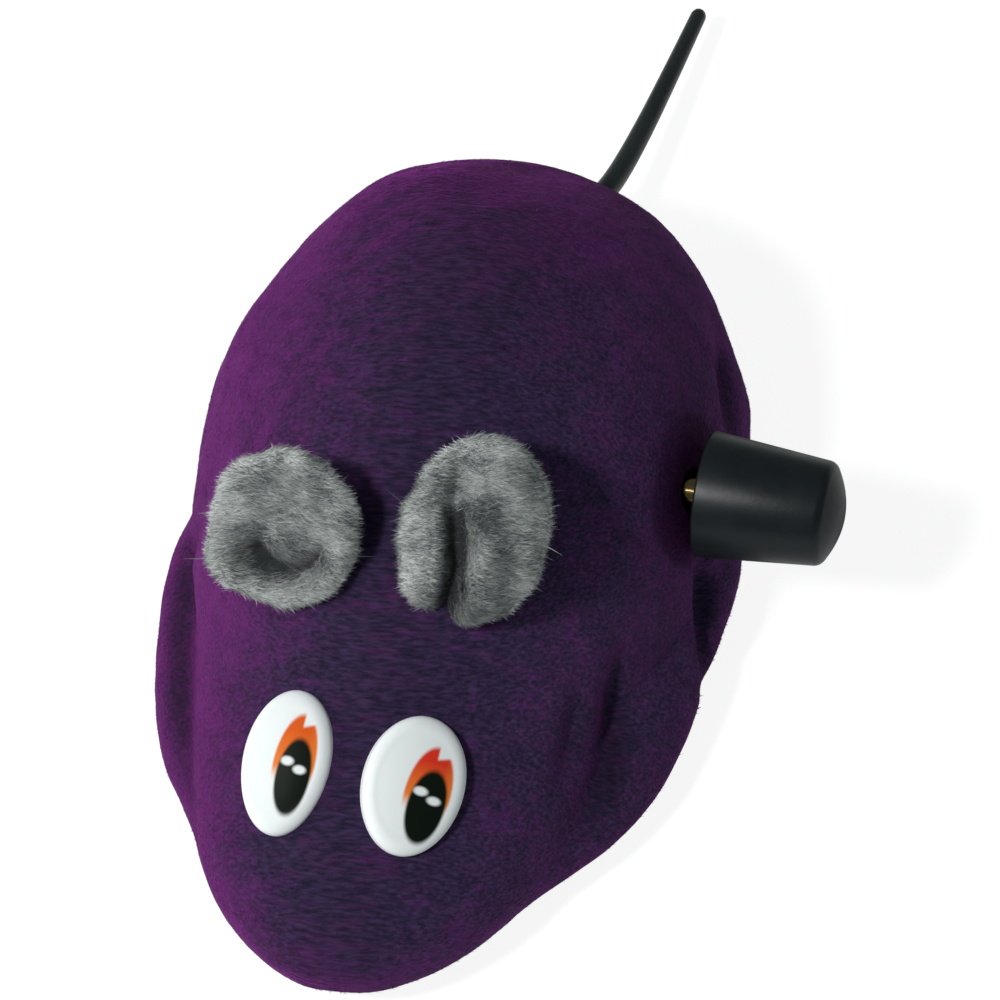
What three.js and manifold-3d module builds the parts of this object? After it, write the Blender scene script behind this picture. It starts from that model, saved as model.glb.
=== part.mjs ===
// Clockwork toy mouse: a velour skin over a moulded shell, with a spring motor on a flat base.
// Millimetres. The nose points to -Y, the tail to +Y, the winding knob to +X, and the floor is Z = 0.
import * as THREE from 'three';
import { mergeVertices } from 'three/addons/utils/BufferGeometryUtils.js';
import Module from 'manifold-3d';

const wasm = await Module();
wasm.setup();

// Clearances
const fitGap = 0.3;
const endPlay = 0.5;
const cutOverrun = 1;

// Body form: six ellipsoids seen from one inner centre, the furthest one making the skin.
// Powers set how softly the head joins the trunk and how sharply the limbs stand off
const centreHeight = 7;
const rimHeight = 4;
const trunkY = 6.5;
const trunkHalfWidth = 27.3;
const trunkHalfLength = 36.3;
const trunkRise = 32.9;
const headY = -19.7;
const headHalfWidth = 19.5;
const headHalfLength = 29.2;
const headRise = 13.4;
const pawX = 17.1;
const pawY = -16.7;
const pawZ = 4.2;
const pawHalfWidth = 9.6;
const pawHalfLength = 18.4;
const pawRise = 7.5;
const pawTurnDegrees = -14;
const haunchX = 17.5;
const haunchY = 0.6;
const haunchZ = 5.6;
const haunchHalfWidth = 10.9;
const haunchHalfLength = 18.6;
const haunchRise = 6.9;
const haunchTurnDegrees = 1;
const headBlendPower = 8;
const lobeBlendPower = 30;
const skinTurnSteps = 72;
const skinRiseSteps = 16;
const liningTurnSteps = 40;
const liningRiseSteps = 10;
const innerTurnSteps = 30;
const innerRiseSteps = 8;

// Skin and shell
const skinThickness = 1;
const shellWall = 1.5;
const hemWidth = 3.6;
const pocketGap = 0.5;
const shaftHoleRadius = 2.3;

// Eyes
const eyeFromMiddle = 6.2;
const eyeY = -32.6;
const eyeWidth = 9.4;
const eyeHeight = 13.6;
const eyeThickness = 1.5;
const eyeEdge = 0.5;
const eyeRollDegrees = -6;
const eyeSink = 2.5;
const eyeChordShare = 0.36;
const eyeSides = 28;

// Ears
const earFromMiddle = 9.1;
const earBaseYLeft = -18;
const earBaseYRight = -19.1;
const earWidth = 14.3;
const earHeightLeft = 18.8;
const earHeightRight = 15.6;
const earThickness = 2.6;
const earCup = 2.4;
const earCreaseDepth = 1.2;
const earCreaseWidth = 1.6;
const earLeanDegrees = 47;
const earSink = 1.4;
const earTurnSteps = 28;
const earRings = 5;

// Tail, a moulded rubber taper with a button head inside the shell
const tailRootRadius = 1.35;
const tailTipRadius = 0.85;
const tailHeadRadius = 2.8;
const tailHeadThickness = 1.4;
const tailReach = 31.5;
const tailRootX = 2.8;
const tailRootZ = 8.4;
const tailSideShares = [-0.045, 0, 0.046, 0.08, 0.112, 0.14];
const tailBackShares = [-0.14, 0, 0.15, 0.4, 0.7, 0.987];
const tailDropShares = [0.06, 0, -0.055, -0.095, -0.125, -0.15];
const tailSteps = 22;
const tailSides = 10;
const tailTipRoundShares = [0.5, 0.85];

// Base plate
const baseThickness = 1.6;
const baseInset = 2;
const wheelSlotGap = 0.9;

// Base and motor screws
const screwHeadRadius = 1.8;
const screwHeadHeight = 1;
const screwShankRadius = 0.9;
const baseScrewLength = 7.5;
const motorScrewLength = 4;
const bossRadius = 2.6;
const bossBearingDegrees = [-90, 75, 105];

// Gears
const gearModuleShare = 0.01378;
const greatTeeth = 40;
const idlerWheelTeeth = 36;
const idlerPinionTeeth = 10;
const axlePinionTeeth = 12;
const addendumShare = 0.8;
const dedendumShare = 1.3;
const toothRootShare = 0.29;
const toothTipShare = 0.11;
const greatThickness = 1.8;
const idlerThickness = 1.3;
const pinionOverlap = 0.2;
const gearWindowCount = 5;
const greatWindowRadius = 1.9;

// Motor. It suits the trunk's length or its rise, whichever is the tighter
const riseToLength = 1.104;
const axleBackShare = 0.372;
const arborForwardShare = 0.4463;
const arborRiseShare = 0.2727;
const footForwardShare = 0.2287;
const rivetReachShare = 0.2094;
const arborRadius = 1.5;
const axleRadius = 1;
const idlerArborRadius = 0.8;
const plateThickness = 1.2;
const plateMargin = 1;
const springWidth = 6;
const springStrip = 0.5;
const springPitch = 1;
const springTurns = 6;
const springStepsPerTurn = 24;
const springHookDegrees = 50;
const rightPlateX = -7;
const ratchetThickness = 1.4;
const ratchetRadius = 3.6;
const ratchetDepth = 0.8;
const ratchetTeeth = 10;
const clickStrip = 0.5;
const clickThickness = 1.1;
const clickRivetRadius = 0.8;
const clickSweep = THREE.MathUtils.degToRad(60);
const pillarRadius = 1.3;
const pillarTenonRadius = 0.8;
const frontPillarBearing = THREE.MathUtils.degToRad(202);
const topPillarBearing = THREE.MathUtils.degToRad(130);
const rearPillarBearing = THREE.MathUtils.degToRad(-34);
const lowerPillarBearing = THREE.MathUtils.degToRad(270);
const footLength = 6;
const footReach = 3.8;
const footThickness = 1.1;

// Wheels
const wheelRadius = 10;
const wheelWidth = 3;
const wheelInnerX = 12.5;
const tyreThickness = 1.4;
const wheelRimThickness = 1.1;
const wheelWebThickness = 1.2;
const wheelHubRadius = 2.4;
const wheelHoleRadius = 1.3;
const wheelHoleCount = 5;
const axleEndLength = 0.7;

// Front roller
const rollerY = -26;
const rollerRadius = 4.2;
const rollerWidth = 7;
const rollerEdge = 0.6;
const rollerPinRadius = 0.8;
const cheekThickness = 1.2;
const cheekRadius = 2;
const rollerSlotGap = 0.8;

// Winding knob
const knobStandOff = 0.8;
const knobLength = 13;
const knobInnerRadius = 6.35;
const knobOuterRadius = 5.25;
const knobDome = 0.8;
const knobEdge = 0.9;
const knobSocketDepth = 8;
const shaftEndLength = 0.8;

const roundSteps = 32;
const wheelSteps = 24;
const smallSteps = 16;
const holeSteps = 10;

// Derived sizes and places of the motor, seen from the side
const motorRoom = Math.min(trunkHalfLength, trunkRise * riseToLength);
const gearModule = motorRoom * gearModuleShare;
const axleY = trunkY + trunkHalfLength * axleBackShare;
const arborY = axleY - motorRoom * arborForwardShare;
const arborZ = wheelRadius + motorRoom * arborRiseShare;
const footY = arborY - motorRoom * footForwardShare;
const clickRivetReach = motorRoom * rivetReachShare;

// Derived places along the motor, from the right plate to the left one
const springX = rightPlateX + endPlay;
const ratchetX = springX + springWidth + endPlay;
const greatX = ratchetX + ratchetThickness + fitGap;
const idlerX = greatX + greatThickness + fitGap;
const leftPlateX = idlerX + idlerThickness + endPlay;
const arbor = new THREE.Vector2(arborY, arborZ);
const axle = new THREE.Vector2(axleY, wheelRadius);
const idler = meshPoint(
  arbor,
  axle,
  gearCentres(greatTeeth, idlerPinionTeeth),
  gearCentres(idlerWheelTeeth, axlePinionTeeth),
);
const baseTop = rimHeight - fitGap;
const baseBottom = baseTop - baseThickness;
const hemTop = rimHeight + skinThickness;
const shellBottom = hemTop + fitGap;
const shellInset = skinThickness + fitGap;
const greatTipRadius = tipRadius(greatTeeth);
const idlerTipRadius = tipRadius(idlerWheelTeeth);

// Vector and number helpers

function lerp(a, b, share) {
  return a + (b - a) * share;
}

function polar(radius, angle) {
  return new THREE.Vector2(radius * Math.cos(angle), radius * Math.sin(angle));
}

function bisect(low, high, isBelow) {
  let a = low;
  let b = high;
  for (let i = 0; i < 40; i += 1) {
    const middle = (a + b) / 2;
    if (isBelow(middle)) {
      a = middle;
    } else {
      b = middle;
    }
  }
  return (a + b) / 2;
}

// The two centres of a gear pair lie apart by half the sum of their pitch diameters

function gearCentres(teethA, teethB) {
  return (gearModule * (teethA + teethB)) / 2;
}

function tipRadius(teeth) {
  return gearModule * (teeth / 2 + addendumShare);
}

// The upper of the two points at given distances from two others

function meshPoint(a, b, fromA, fromB) {
  const line = b.clone().sub(a);
  const span = line.length();
  line.normalize();
  const along = (fromA ** 2 - fromB ** 2 + span ** 2) / (2 * span);
  const aside = new THREE.Vector2(-line.y, line.x).multiplyScalar(Math.sqrt(fromA ** 2 - along ** 2));
  return a.clone().addScaledVector(line, along).add(aside);
}

// Solids

function solidFrom(geometry) {
  const bare = geometry.clone();
  for (const name of Object.keys(bare.attributes)) {
    if (name !== 'position') {
      bare.deleteAttribute(name);
    }
  }
  const merged = mergeVertices(bare);
  return new wasm.Manifold(new wasm.Mesh({
    numProp: 3,
    vertProperties: new Float32Array(merged.attributes.position.array),
    triVerts: new Uint32Array(merged.index.array),
  }));
}

function geometryFrom(solid) {
  const mesh = solid.getMesh();
  const geometry = new THREE.BufferGeometry();
  const points = new Float32Array(mesh.numVert * 3);
  for (let i = 0; i < mesh.numVert; i += 1) {
    for (let k = 0; k < 3; k += 1) {
      points[3 * i + k] = mesh.vertProperties[mesh.numProp * i + k];
    }
  }
  geometry.setAttribute('position', new THREE.BufferAttribute(points, 3));
  geometry.setIndex(new THREE.BufferAttribute(new Uint32Array(mesh.triVerts), 1));
  geometry.computeVertexNormals();
  return geometry;
}

function join(...geometries) {
  return geometryFrom(geometries.map(solidFrom).reduce((a, b) => a.add(b)));
}

function cut(geometry, ...tools) {
  return geometryFrom(tools.map(solidFrom).reduce((a, b) => a.subtract(b), solidFrom(geometry)));
}

function common(a, b) {
  return geometryFrom(solidFrom(a).intersect(solidFrom(b)));
}

// Rings of equally many points joined into a closed skin, capped at both ends

function loft(rings) {
  const sides = rings[0].length;
  const points = rings.flat();
  const faces = [];
  for (let i = 0; i + 1 < rings.length; i += 1) {
    for (let j = 0; j < sides; j += 1) {
      const a = i * sides + j;
      const b = i * sides + ((j + 1) % sides);
      faces.push(a, b, b + sides, a, b + sides, a + sides);
    }
  }
  const ends = [rings[0], rings[rings.length - 1]];
  ends.forEach((ring, end) => {
    const middle = ring.reduce((sum, p) => sum.add(p), new THREE.Vector3()).divideScalar(sides);
    const centre = points.push(middle) - 1;
    const start = end * (rings.length - 1) * sides;
    for (let j = 0; j < sides; j += 1) {
      const a = start + j;
      const b = start + ((j + 1) % sides);
      faces.push(...(end ? [a, b, centre] : [b, a, centre]));
    }
  });
  const geometry = new THREE.BufferGeometry().setFromPoints(points);
  geometry.setIndex(faces);
  geometry.computeVertexNormals();
  return geometry;
}

// A flat outline in Y and Z pushed along X

const acrossX = new THREE.Matrix4().makeBasis(
  new THREE.Vector3(0, 1, 0),
  new THREE.Vector3(0, 0, 1),
  new THREE.Vector3(1, 0, 0),
);

function slabX(outline, fromX, toX) {
  const options = { depth: toX - fromX, bevelEnabled: false, curveSegments: smallSteps };
  return new THREE.ExtrudeGeometry(outline, options).applyMatrix4(acrossX).translate(fromX, 0, 0);
}

function slabZ(outline, fromZ, toZ) {
  const options = { depth: toZ - fromZ, bevelEnabled: false, curveSegments: smallSteps };
  return new THREE.ExtrudeGeometry(outline, options).translate(0, 0, fromZ);
}

function rodX(radius, fromX, toX, steps = smallSteps) {
  const rod = new THREE.CylinderGeometry(radius, radius, toX - fromX, steps);
  return rod.rotateZ(-Math.PI / 2).translate((fromX + toX) / 2, 0, 0);
}

function rodZ(radius, fromZ, toZ, steps = smallSteps) {
  const rod = new THREE.CylinderGeometry(radius, radius, toZ - fromZ, steps);
  return rod.rotateX(Math.PI / 2).translate(0, 0, (fromZ + toZ) / 2);
}

// A profile of [radius, x] pairs turned about the X axis

function turnedX(profile, steps = roundSteps) {
  const points = profile.map(([radius, x]) => new THREE.Vector2(radius, x));
  return new THREE.LatheGeometry(points, steps).rotateZ(-Math.PI / 2);
}

function turnedZ(profile, steps = smallSteps) {
  const points = profile.map(([radius, z]) => new THREE.Vector2(radius, z));
  return new THREE.LatheGeometry(points, steps).rotateX(Math.PI / 2);
}

function box(fromX, toX, fromY, toY, fromZ, toZ) {
  const block = new THREE.BoxGeometry(toX - fromX, toY - fromY, toZ - fromZ);
  return block.translate((fromX + toX) / 2, (fromY + toY) / 2, (fromZ + toZ) / 2);
}

function circlePoints(at, radius, steps) {
  return Array.from({ length: steps }, (_, i) => polar(radius, (2 * Math.PI * i) / steps).add(at));
}

// The taut line round a set of circles, as an outline

function wrapOutline(circles) {
  const points = circles.flatMap(({ at, radius }) => circlePoints(at, radius, roundSteps));
  points.sort((a, b) => a.x - b.x || a.y - b.y);
  const half = (list) => {
    const chain = [];
    for (const p of list) {
      while (chain.length > 1) {
        const [a, b] = chain.slice(-2);
        if ((b.x - a.x) * (p.y - a.y) - (b.y - a.y) * (p.x - a.x) > 0) {
          break;
        }
        chain.pop();
      }
      chain.push(p);
    }
    chain.pop();
    return chain;
  };
  return new THREE.Shape([...half(points), ...half(points.slice().reverse())]);
}

function roundHole(at, radius) {
  return new THREE.Path(circlePoints(at, radius, smallSteps));
}

// Body form

const trunkAndHead = [
  { x: 0, y: trunkY, z: centreHeight, axes: [trunkHalfWidth, trunkHalfLength, trunkRise], turn: 0 },
  { x: 0, y: headY, z: centreHeight, axes: [headHalfWidth, headHalfLength, headRise], turn: 0 },
];
const limbs = [-1, 1].flatMap((side) => [
  {
    x: side * pawX,
    y: pawY,
    z: pawZ,
    axes: [pawHalfWidth, pawHalfLength, pawRise],
    turn: side * THREE.MathUtils.degToRad(pawTurnDegrees),
  },
  {
    x: side * haunchX,
    y: haunchY,
    z: haunchZ,
    axes: [haunchHalfWidth, haunchHalfLength, haunchRise],
    turn: side * THREE.MathUtils.degToRad(haunchTurnDegrees),
  },
]);

// Distance along a ray from the inner centre to the far side of one lobe, zero where it misses

function lobeReach(direction, lobe) {
  const c = Math.cos(lobe.turn);
  const s = Math.sin(lobe.turn);
  const [a, b, h] = lobe.axes;
  const along = [
    (c * direction.x + s * direction.y) / a,
    (-s * direction.x + c * direction.y) / b,
    direction.z / h,
  ];
  const start = [
    -(c * lobe.x + s * lobe.y) / a,
    -(-s * lobe.x + c * lobe.y) / b,
    (centreHeight - lobe.z) / h,
  ];
  const dot = (p, q) => p[0] * q[0] + p[1] * q[1] + p[2] * q[2];
  const square = dot(along, along);
  const mixed = dot(along, start);
  const inside = mixed ** 2 - square * (dot(start, start) - 1);
  if (inside <= 0) {
    return 0;
  }
  return Math.max(0, (Math.sqrt(inside) - mixed) / square);
}

// A soft maximum: a low power rounds the crease between two lobes, a high one keeps it

function blendReach(reaches, power) {
  const sum = reaches.reduce((total, reach) => total + (reach / trunkHalfLength) ** power, 0);
  return trunkHalfLength * sum ** (1 / power);
}

function skinReach(direction) {
  const body = blendReach(trunkAndHead.map((lobe) => lobeReach(direction, lobe)), headBlendPower);
  return blendReach([body, ...limbs.map((lobe) => lobeReach(direction, lobe))], lobeBlendPower);
}

function rayPoint(azimuth, latitude, growth) {
  const direction = new THREE.Vector3(
    Math.cos(latitude) * Math.cos(azimuth),
    Math.cos(latitude) * Math.sin(azimuth),
    Math.sin(latitude),
  );
  const point = direction.clone().multiplyScalar(skinReach(direction) + growth);
  point.z += centreHeight;
  return point;
}

// The latitude at which the form, grown by a distance, crosses a height

function latitudeAt(azimuth, height, growth) {
  return bisect(-Math.PI / 3, Math.PI / 3, (latitude) => rayPoint(azimuth, latitude, growth).z < height);
}

function formRing(height, growth, steps) {
  return Array.from({ length: steps }, (_, j) => {
    const azimuth = (2 * Math.PI * j) / steps;
    return rayPoint(azimuth, latitudeAt(azimuth, height, growth), growth);
  });
}

// The body form grown by a distance and cut off flat at a height

function formSolid(growth, height, turnSteps, riseSteps) {
  const lowest = Array.from({ length: turnSteps }, (_, j) => (
    latitudeAt((2 * Math.PI * j) / turnSteps, baseBottom, 0)
  ));
  const rings = Array.from({ length: riseSteps }, (_, i) => lowest.map((low, j) => {
    const latitude = lerp(low, Math.PI / 2, i / riseSteps);
    return rayPoint((2 * Math.PI * j) / turnSteps, latitude, growth);
  }));
  const solid = loft(rings);
  const positions = solid.attributes.position;
  const crown = rayPoint(0, Math.PI / 2, growth);
  positions.setXYZ(positions.count - 1, crown.x, crown.y, crown.z);
  const reach = 2 * trunkHalfLength;
  return common(solid, box(-reach, reach, -reach, reach, height, reach));
}

function isInsideForm(point) {
  const ray = point.clone();
  ray.z -= centreHeight;
  const length = ray.length();
  return length < skinReach(ray.divideScalar(length));
}

function surfacePoint(x, y) {
  const height = bisect(centreHeight, centreHeight + 2 * trunkRise, (z) => (
    isInsideForm(new THREE.Vector3(x, y, z))
  ));
  return new THREE.Vector3(x, y, height);
}

// The knob's inner end stands a little off the skin, measured along the arbor

const knobX = knobStandOff + bisect(0, 2 * trunkHalfWidth, (x) => (
  isInsideForm(new THREE.Vector3(x, arborY, arborZ))
));

const skinSolid = formSolid(0, rimHeight, skinTurnSteps, skinRiseSteps);
const skinSeat = formSolid(fitGap, rimHeight - cutOverrun, skinTurnSteps, skinRiseSteps);
const liningSolid = formSolid(-skinThickness, hemTop, liningTurnSteps, liningRiseSteps);
const shellSolid = formSolid(-shellInset, shellBottom, liningTurnSteps, liningRiseSteps);
const hollowSolid = formSolid(
  -shellInset - shellWall,
  shellBottom - cutOverrun,
  innerTurnSteps,
  innerRiseSteps,
);
const buttonRoom = formSolid(
  -shellInset - shellWall - fitGap,
  shellBottom,
  innerTurnSteps,
  innerRiseSteps,
);

// Tail path and taper

function tailPath() {
  const rootY = bisect(0, 2 * trunkHalfLength, (y) => (
    isInsideForm(new THREE.Vector3(tailRootX, y, tailRootZ))
  ));
  const points = tailBackShares.map((back, i) => new THREE.Vector3(
    tailRootX + tailSideShares[i] * tailReach,
    rootY + back * tailReach,
    tailRootZ + tailDropShares[i] * tailReach,
  ));
  return new THREE.CatmullRomCurve3(points);
}

function tailLoft(growth) {
  const path = tailPath();
  const frames = path.computeFrenetFrames(tailSteps, false);
  const rings = [];
  for (let i = 0; i <= tailSteps; i += 1) {
    const share = i / tailSteps;
    const radius = lerp(tailRootRadius, tailTipRadius, share) + growth;
    rings.push(tailRing(path.getPointAt(share), frames.normals[i], frames.binormals[i], radius));
  }
  const tip = path.getPointAt(1);
  const end = path.getTangentAt(1);
  for (const roundShare of tailTipRoundShares) {
    const radius = (tailTipRadius + growth) * Math.sqrt(1 - roundShare ** 2);
    const at = tip.clone().addScaledVector(end, roundShare * tailTipRadius);
    rings.push(tailRing(at, frames.normals[tailSteps], frames.binormals[tailSteps], radius));
  }
  return loft(rings);
}

function tailRing(at, normal, binormal, radius) {
  return Array.from({ length: tailSides }, (_, j) => {
    const p = polar(radius, (2 * Math.PI * j) / tailSides);
    return at.clone().addScaledVector(normal, p.x).addScaledVector(binormal, p.y);
  });
}

function tail() {
  const path = tailPath();
  const root = path.getPointAt(0);
  const turn = new THREE.Quaternion().setFromUnitVectors(new THREE.Vector3(1, 0, 0), path.getTangentAt(0));
  const head = rodX(tailHeadRadius, -tailHeadThickness, tailHeadThickness);
  head.applyQuaternion(turn).translate(root.x, root.y, root.z);
  return join(tailLoft(0), common(head, buttonRoom));
}

// Skin and shell

function alongArbor(radius, fromX, toX) {
  return rodX(radius, fromX, toX, roundSteps).translate(0, arborY, arborZ);
}

function fabricCover() {
  const ring = formRing(rimHeight, -hemWidth - skinThickness, liningTurnSteps);
  const hemOpening = slabZ(
    new THREE.Shape(ring.map((p) => new THREE.Vector2(p.x, p.y))),
    rimHeight - cutOverrun,
    hemTop + cutOverrun,
  );
  const knobOpening = alongArbor(knobInnerRadius + pocketGap, arborRadius, knobX + knobLength);
  return cut(skinSolid, liningSolid, hemOpening, knobOpening, tailLoft(fitGap));
}

// The bosses stand just inside the hem, at their bearings round the rim

function bossPlaces() {
  return bossBearingDegrees.map((degrees) => {
    const azimuth = THREE.MathUtils.degToRad(degrees);
    const rim = rayPoint(azimuth, latitudeAt(azimuth, rimHeight, 0), 0);
    const reach = Math.hypot(rim.x, rim.y) - skinThickness - hemWidth - fitGap - bossRadius;
    const place = polar(reach, azimuth);
    return [place.x, place.y];
  });
}

// The shell has a shallow round pocket that clears the knob, with the shaft's hole in its floor

function bodyShell() {
  const bosses = bossPlaces().map(([x, y]) => (
    rodZ(bossRadius, rimHeight, centreHeight + trunkRise).translate(x, y, 0)
  ));
  const bossRoom = formSolid(
    -shellInset - shellWall / 2,
    rimHeight,
    innerTurnSteps,
    innerRiseSteps,
  );
  const pocketRadius = knobInnerRadius + pocketGap;
  const pocketX = knobX - pocketGap;
  const pocketRound = alongArbor(pocketRadius + shellWall, pocketX - shellWall, knobX);
  const walls = join(
    cut(shellSolid, hollowSolid),
    common(pocketRound, shellSolid),
    ...bosses.map((boss) => common(boss, bossRoom)),
  );
  const pilotTop = baseBottom + baseScrewLength + fitGap;
  const pilots = bossPlaces().map(([x, y]) => (
    rodZ(screwShankRadius + fitGap, rimHeight - cutOverrun, pilotTop).translate(x, y, 0)
  ));
  return cut(
    walls,
    alongArbor(pocketRadius, pocketX, knobX + knobLength),
    alongArbor(shaftHoleRadius, arborRadius, knobX),
    tailLoft(fitGap),
    ...pilots,
  );
}

// Eyes: oval plates with a rounded edge, lying on the face and shaped behind to it

function eye(side) {
  const frame = eyeFrame(side);
  const searched = eyeHeight / 2;
  const lifts = ellipsePoints(eyeWidth / 2, eyeHeight / 2).map((p) => (
    bisect(-searched, searched, (t) => isInsideForm(new THREE.Vector3(p.x, p.y, t).applyMatrix4(frame)))
  ));
  const front = Math.max(0, ...lifts) + eyeThickness;
  const outline = new THREE.Shape(ellipsePoints(eyeWidth / 2 - eyeEdge, eyeHeight / 2 - eyeEdge));
  const plate = new THREE.ExtrudeGeometry(outline, {
    depth: front + eyeSink - eyeEdge,
    bevelThickness: eyeEdge,
    bevelSize: eyeEdge,
    bevelSegments: 2,
  }).translate(0, 0, -eyeSink);
  return cut(plate.applyMatrix4(frame), skinSeat);
}

// The eye's plane: across and up by chords of the face, and a small roll about its normal

function eyeFrame(side) {
  const x = side * eyeFromMiddle;
  const acrossStep = eyeWidth * eyeChordShare;
  const upStep = eyeHeight * eyeChordShare;
  const up = surfacePoint(x, eyeY + upStep).sub(surfacePoint(x, eyeY - upStep)).normalize();
  const across = surfacePoint(x + acrossStep, eyeY).sub(surfacePoint(x - acrossStep, eyeY));
  const normal = across.cross(up).normalize();
  up.applyAxisAngle(normal, THREE.MathUtils.degToRad(eyeRollDegrees));
  const basis = new THREE.Matrix4().makeBasis(up.clone().cross(normal), up, normal);
  return basis.setPosition(surfacePoint(x, eyeY));
}

function ellipsePoints(halfWidth, halfHeight) {
  return Array.from({ length: eyeSides }, (_, i) => {
    const angle = (2 * Math.PI * i) / eyeSides;
    return new THREE.Vector2(halfWidth * Math.cos(angle), halfHeight * Math.sin(angle));
  });
}

// Ears: cupped plush discs with a gathered crease up from the base

function earSurface(height, back) {
  const rings = [];
  for (let i = 1; i <= earRings; i += 1) {
    const share = i / earRings;
    rings.push(Array.from({ length: earTurnSteps }, (_, j) => {
      const p = polar(share, (2 * Math.PI * j) / earTurnSteps);
      return earPoint(p, height, back);
    }));
  }
  return { rings, middle: earPoint(new THREE.Vector2(0, 0), height, back) };
}

function earPoint(place, height, back) {
  const share = place.length();
  const across = (place.x * earWidth) / 2;
  const up = ((place.y + 1) * height) / 2;
  const lowShare = Math.max(0, -place.y);
  const crease = earCreaseDepth * lowShare * Math.exp(-((across / earCreaseWidth) ** 2));
  const fullness = Math.sqrt(1 - Math.min(1, share) ** 4);
  const halfFull = (earThickness / 2) * fullness;
  const outward = earCup * share ** 2 + (back ? -halfFull : halfFull - crease * fullness);
  return new THREE.Vector3(across, up, outward);
}

function ear(side, height, baseY) {
  const front = earSurface(height, false);
  const behind = earSurface(height, true);
  const points = [front.middle, ...front.rings.flat(), behind.middle, ...behind.rings.slice(0, -1).flat()];
  const backStart = 1 + earRings * earTurnSteps;
  const at = (isBack, ring, j) => {
    const turn = (j + earTurnSteps) % earTurnSteps;
    if (ring === 0) {
      return isBack ? backStart : 0;
    }
    if (!isBack || ring === earRings) {
      return 1 + (ring - 1) * earTurnSteps + turn;
    }
    return backStart + 1 + (ring - 1) * earTurnSteps + turn;
  };
  const corners = [[0, 0], [1, 0], [1, 1], [0, 1]];
  const faces = [];
  for (const isBack of [false, true]) {
    for (let ring = 0; ring < earRings; ring += 1) {
      for (let j = 0; j < earTurnSteps; j += 1) {
        const quad = corners.map(([out, turn]) => at(isBack, ring + out, j + turn));
        const triangles = ring ? [[0, 1, 2], [0, 2, 3]] : [[0, 1, 2]];
        for (const [a, b, c] of triangles) {
          faces.push(...(isBack ? [quad[a], quad[c], quad[b]] : [quad[a], quad[b], quad[c]]));
        }
      }
    }
  }
  const geometry = new THREE.BufferGeometry().setFromPoints(points);
  geometry.setIndex(faces);
  const root = surfacePoint(side * earFromMiddle, baseY);
  const lean = THREE.MathUtils.degToRad(earLeanDegrees);
  const up = new THREE.Vector3(0, Math.cos(lean), Math.sin(lean));
  const across = new THREE.Vector3(1, 0, 0);
  const outward = across.clone().cross(up);
  root.addScaledVector(up, -earSink);
  geometry.applyMatrix4(new THREE.Matrix4().makeBasis(across, up, outward).setPosition(root));
  return cut(geometry, skinSeat);
}

// Screws, and the holes that they sit in, from the underside of the base plate upwards

function screw(length) {
  return turnedZ([
    [0, 0],
    [screwHeadRadius, 0],
    [screwShankRadius, screwHeadHeight],
    [screwShankRadius, length - screwShankRadius],
    [0, length],
  ]);
}

function screwHole() {
  return turnedZ([
    [0, -cutOverrun],
    [screwHeadRadius + fitGap, -cutOverrun],
    [screwHeadRadius + fitGap, 0],
    [screwShankRadius + fitGap, screwHeadHeight],
    [screwShankRadius + fitGap, baseThickness + cutOverrun],
    [0, baseThickness + cutOverrun],
  ]);
}

function motorScrewPlaces() {
  return [
    [leftPlateX + plateThickness + footReach / 2, footY + footLength / 2],
    [rightPlateX - plateThickness - footReach / 2, footY + footLength / 2],
  ];
}

// Base plate with wheel slots, roller cheeks and screw seats

function basePlate() {
  const ring = formRing(rimHeight, -baseInset, skinTurnSteps);
  const outline = new THREE.Shape(ring.map((p) => new THREE.Vector2(p.x, p.y)));
  const plate = slabZ(outline, baseBottom, baseTop);
  const cheeks = [-1, 1].map((side) => {
    const inner = rollerWidth / 2 + fitGap;
    const from = side > 0 ? inner : -inner - cheekThickness;
    const footRadius = baseThickness / 2;
    const footZ = baseBottom + footRadius;
    const cheek = wrapOutline([
      { at: new THREE.Vector2(rollerY, rollerRadius), radius: cheekRadius },
      { at: new THREE.Vector2(rollerY - cheekRadius, footZ), radius: footRadius },
      { at: new THREE.Vector2(rollerY + cheekRadius, footZ), radius: footRadius },
    ]);
    return slabX(cheek, from, from + cheekThickness);
  });
  const slots = [-1, 1].map((side) => {
    const near = wheelInnerX - wheelSlotGap;
    const far = wheelInnerX + wheelWidth + wheelSlotGap;
    const reach = Math.sqrt(wheelRadius ** 2 - (wheelRadius - baseTop) ** 2) + wheelSlotGap;
    return box(
      Math.min(side * near, side * far),
      Math.max(side * near, side * far),
      axleY - reach,
      axleY + reach,
      baseBottom - cutOverrun,
      baseTop + cutOverrun,
    );
  });
  const rollerSlot = box(
    -rollerWidth / 2 - fitGap,
    rollerWidth / 2 + fitGap,
    rollerY - rollerRadius - rollerSlotGap,
    rollerY + rollerRadius + rollerSlotGap,
    baseBottom - cutOverrun,
    baseTop + cutOverrun,
  );
  const pinReach = rollerWidth / 2 + fitGap + cheekThickness + cutOverrun;
  const pinHole = rodX(rollerPinRadius + fitGap, -pinReach, pinReach).translate(0, rollerY, rollerRadius);
  const screwHoles = [...bossPlaces(), ...motorScrewPlaces()].map(([x, y]) => (
    screwHole().translate(x, y, baseBottom)
  ));
  return cut(join(plate, ...cheeks), rollerSlot, pinHole, ...slots, ...screwHoles);
}

// Front roller and its pin

function roller() {
  const half = rollerWidth / 2;
  const bore = rollerPinRadius + fitGap;
  return turnedX([
    [bore, -half],
    [rollerRadius - rollerEdge, -half],
    [rollerRadius, -half + rollerEdge],
    [rollerRadius, half - rollerEdge],
    [rollerRadius - rollerEdge, half],
    [bore, half],
    [bore, -half],
  ], wheelSteps);
}

function rollerPin() {
  const half = rollerWidth / 2 + fitGap + cheekThickness;
  return rodX(rollerPinRadius, -half, half);
}

// Gears

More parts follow.
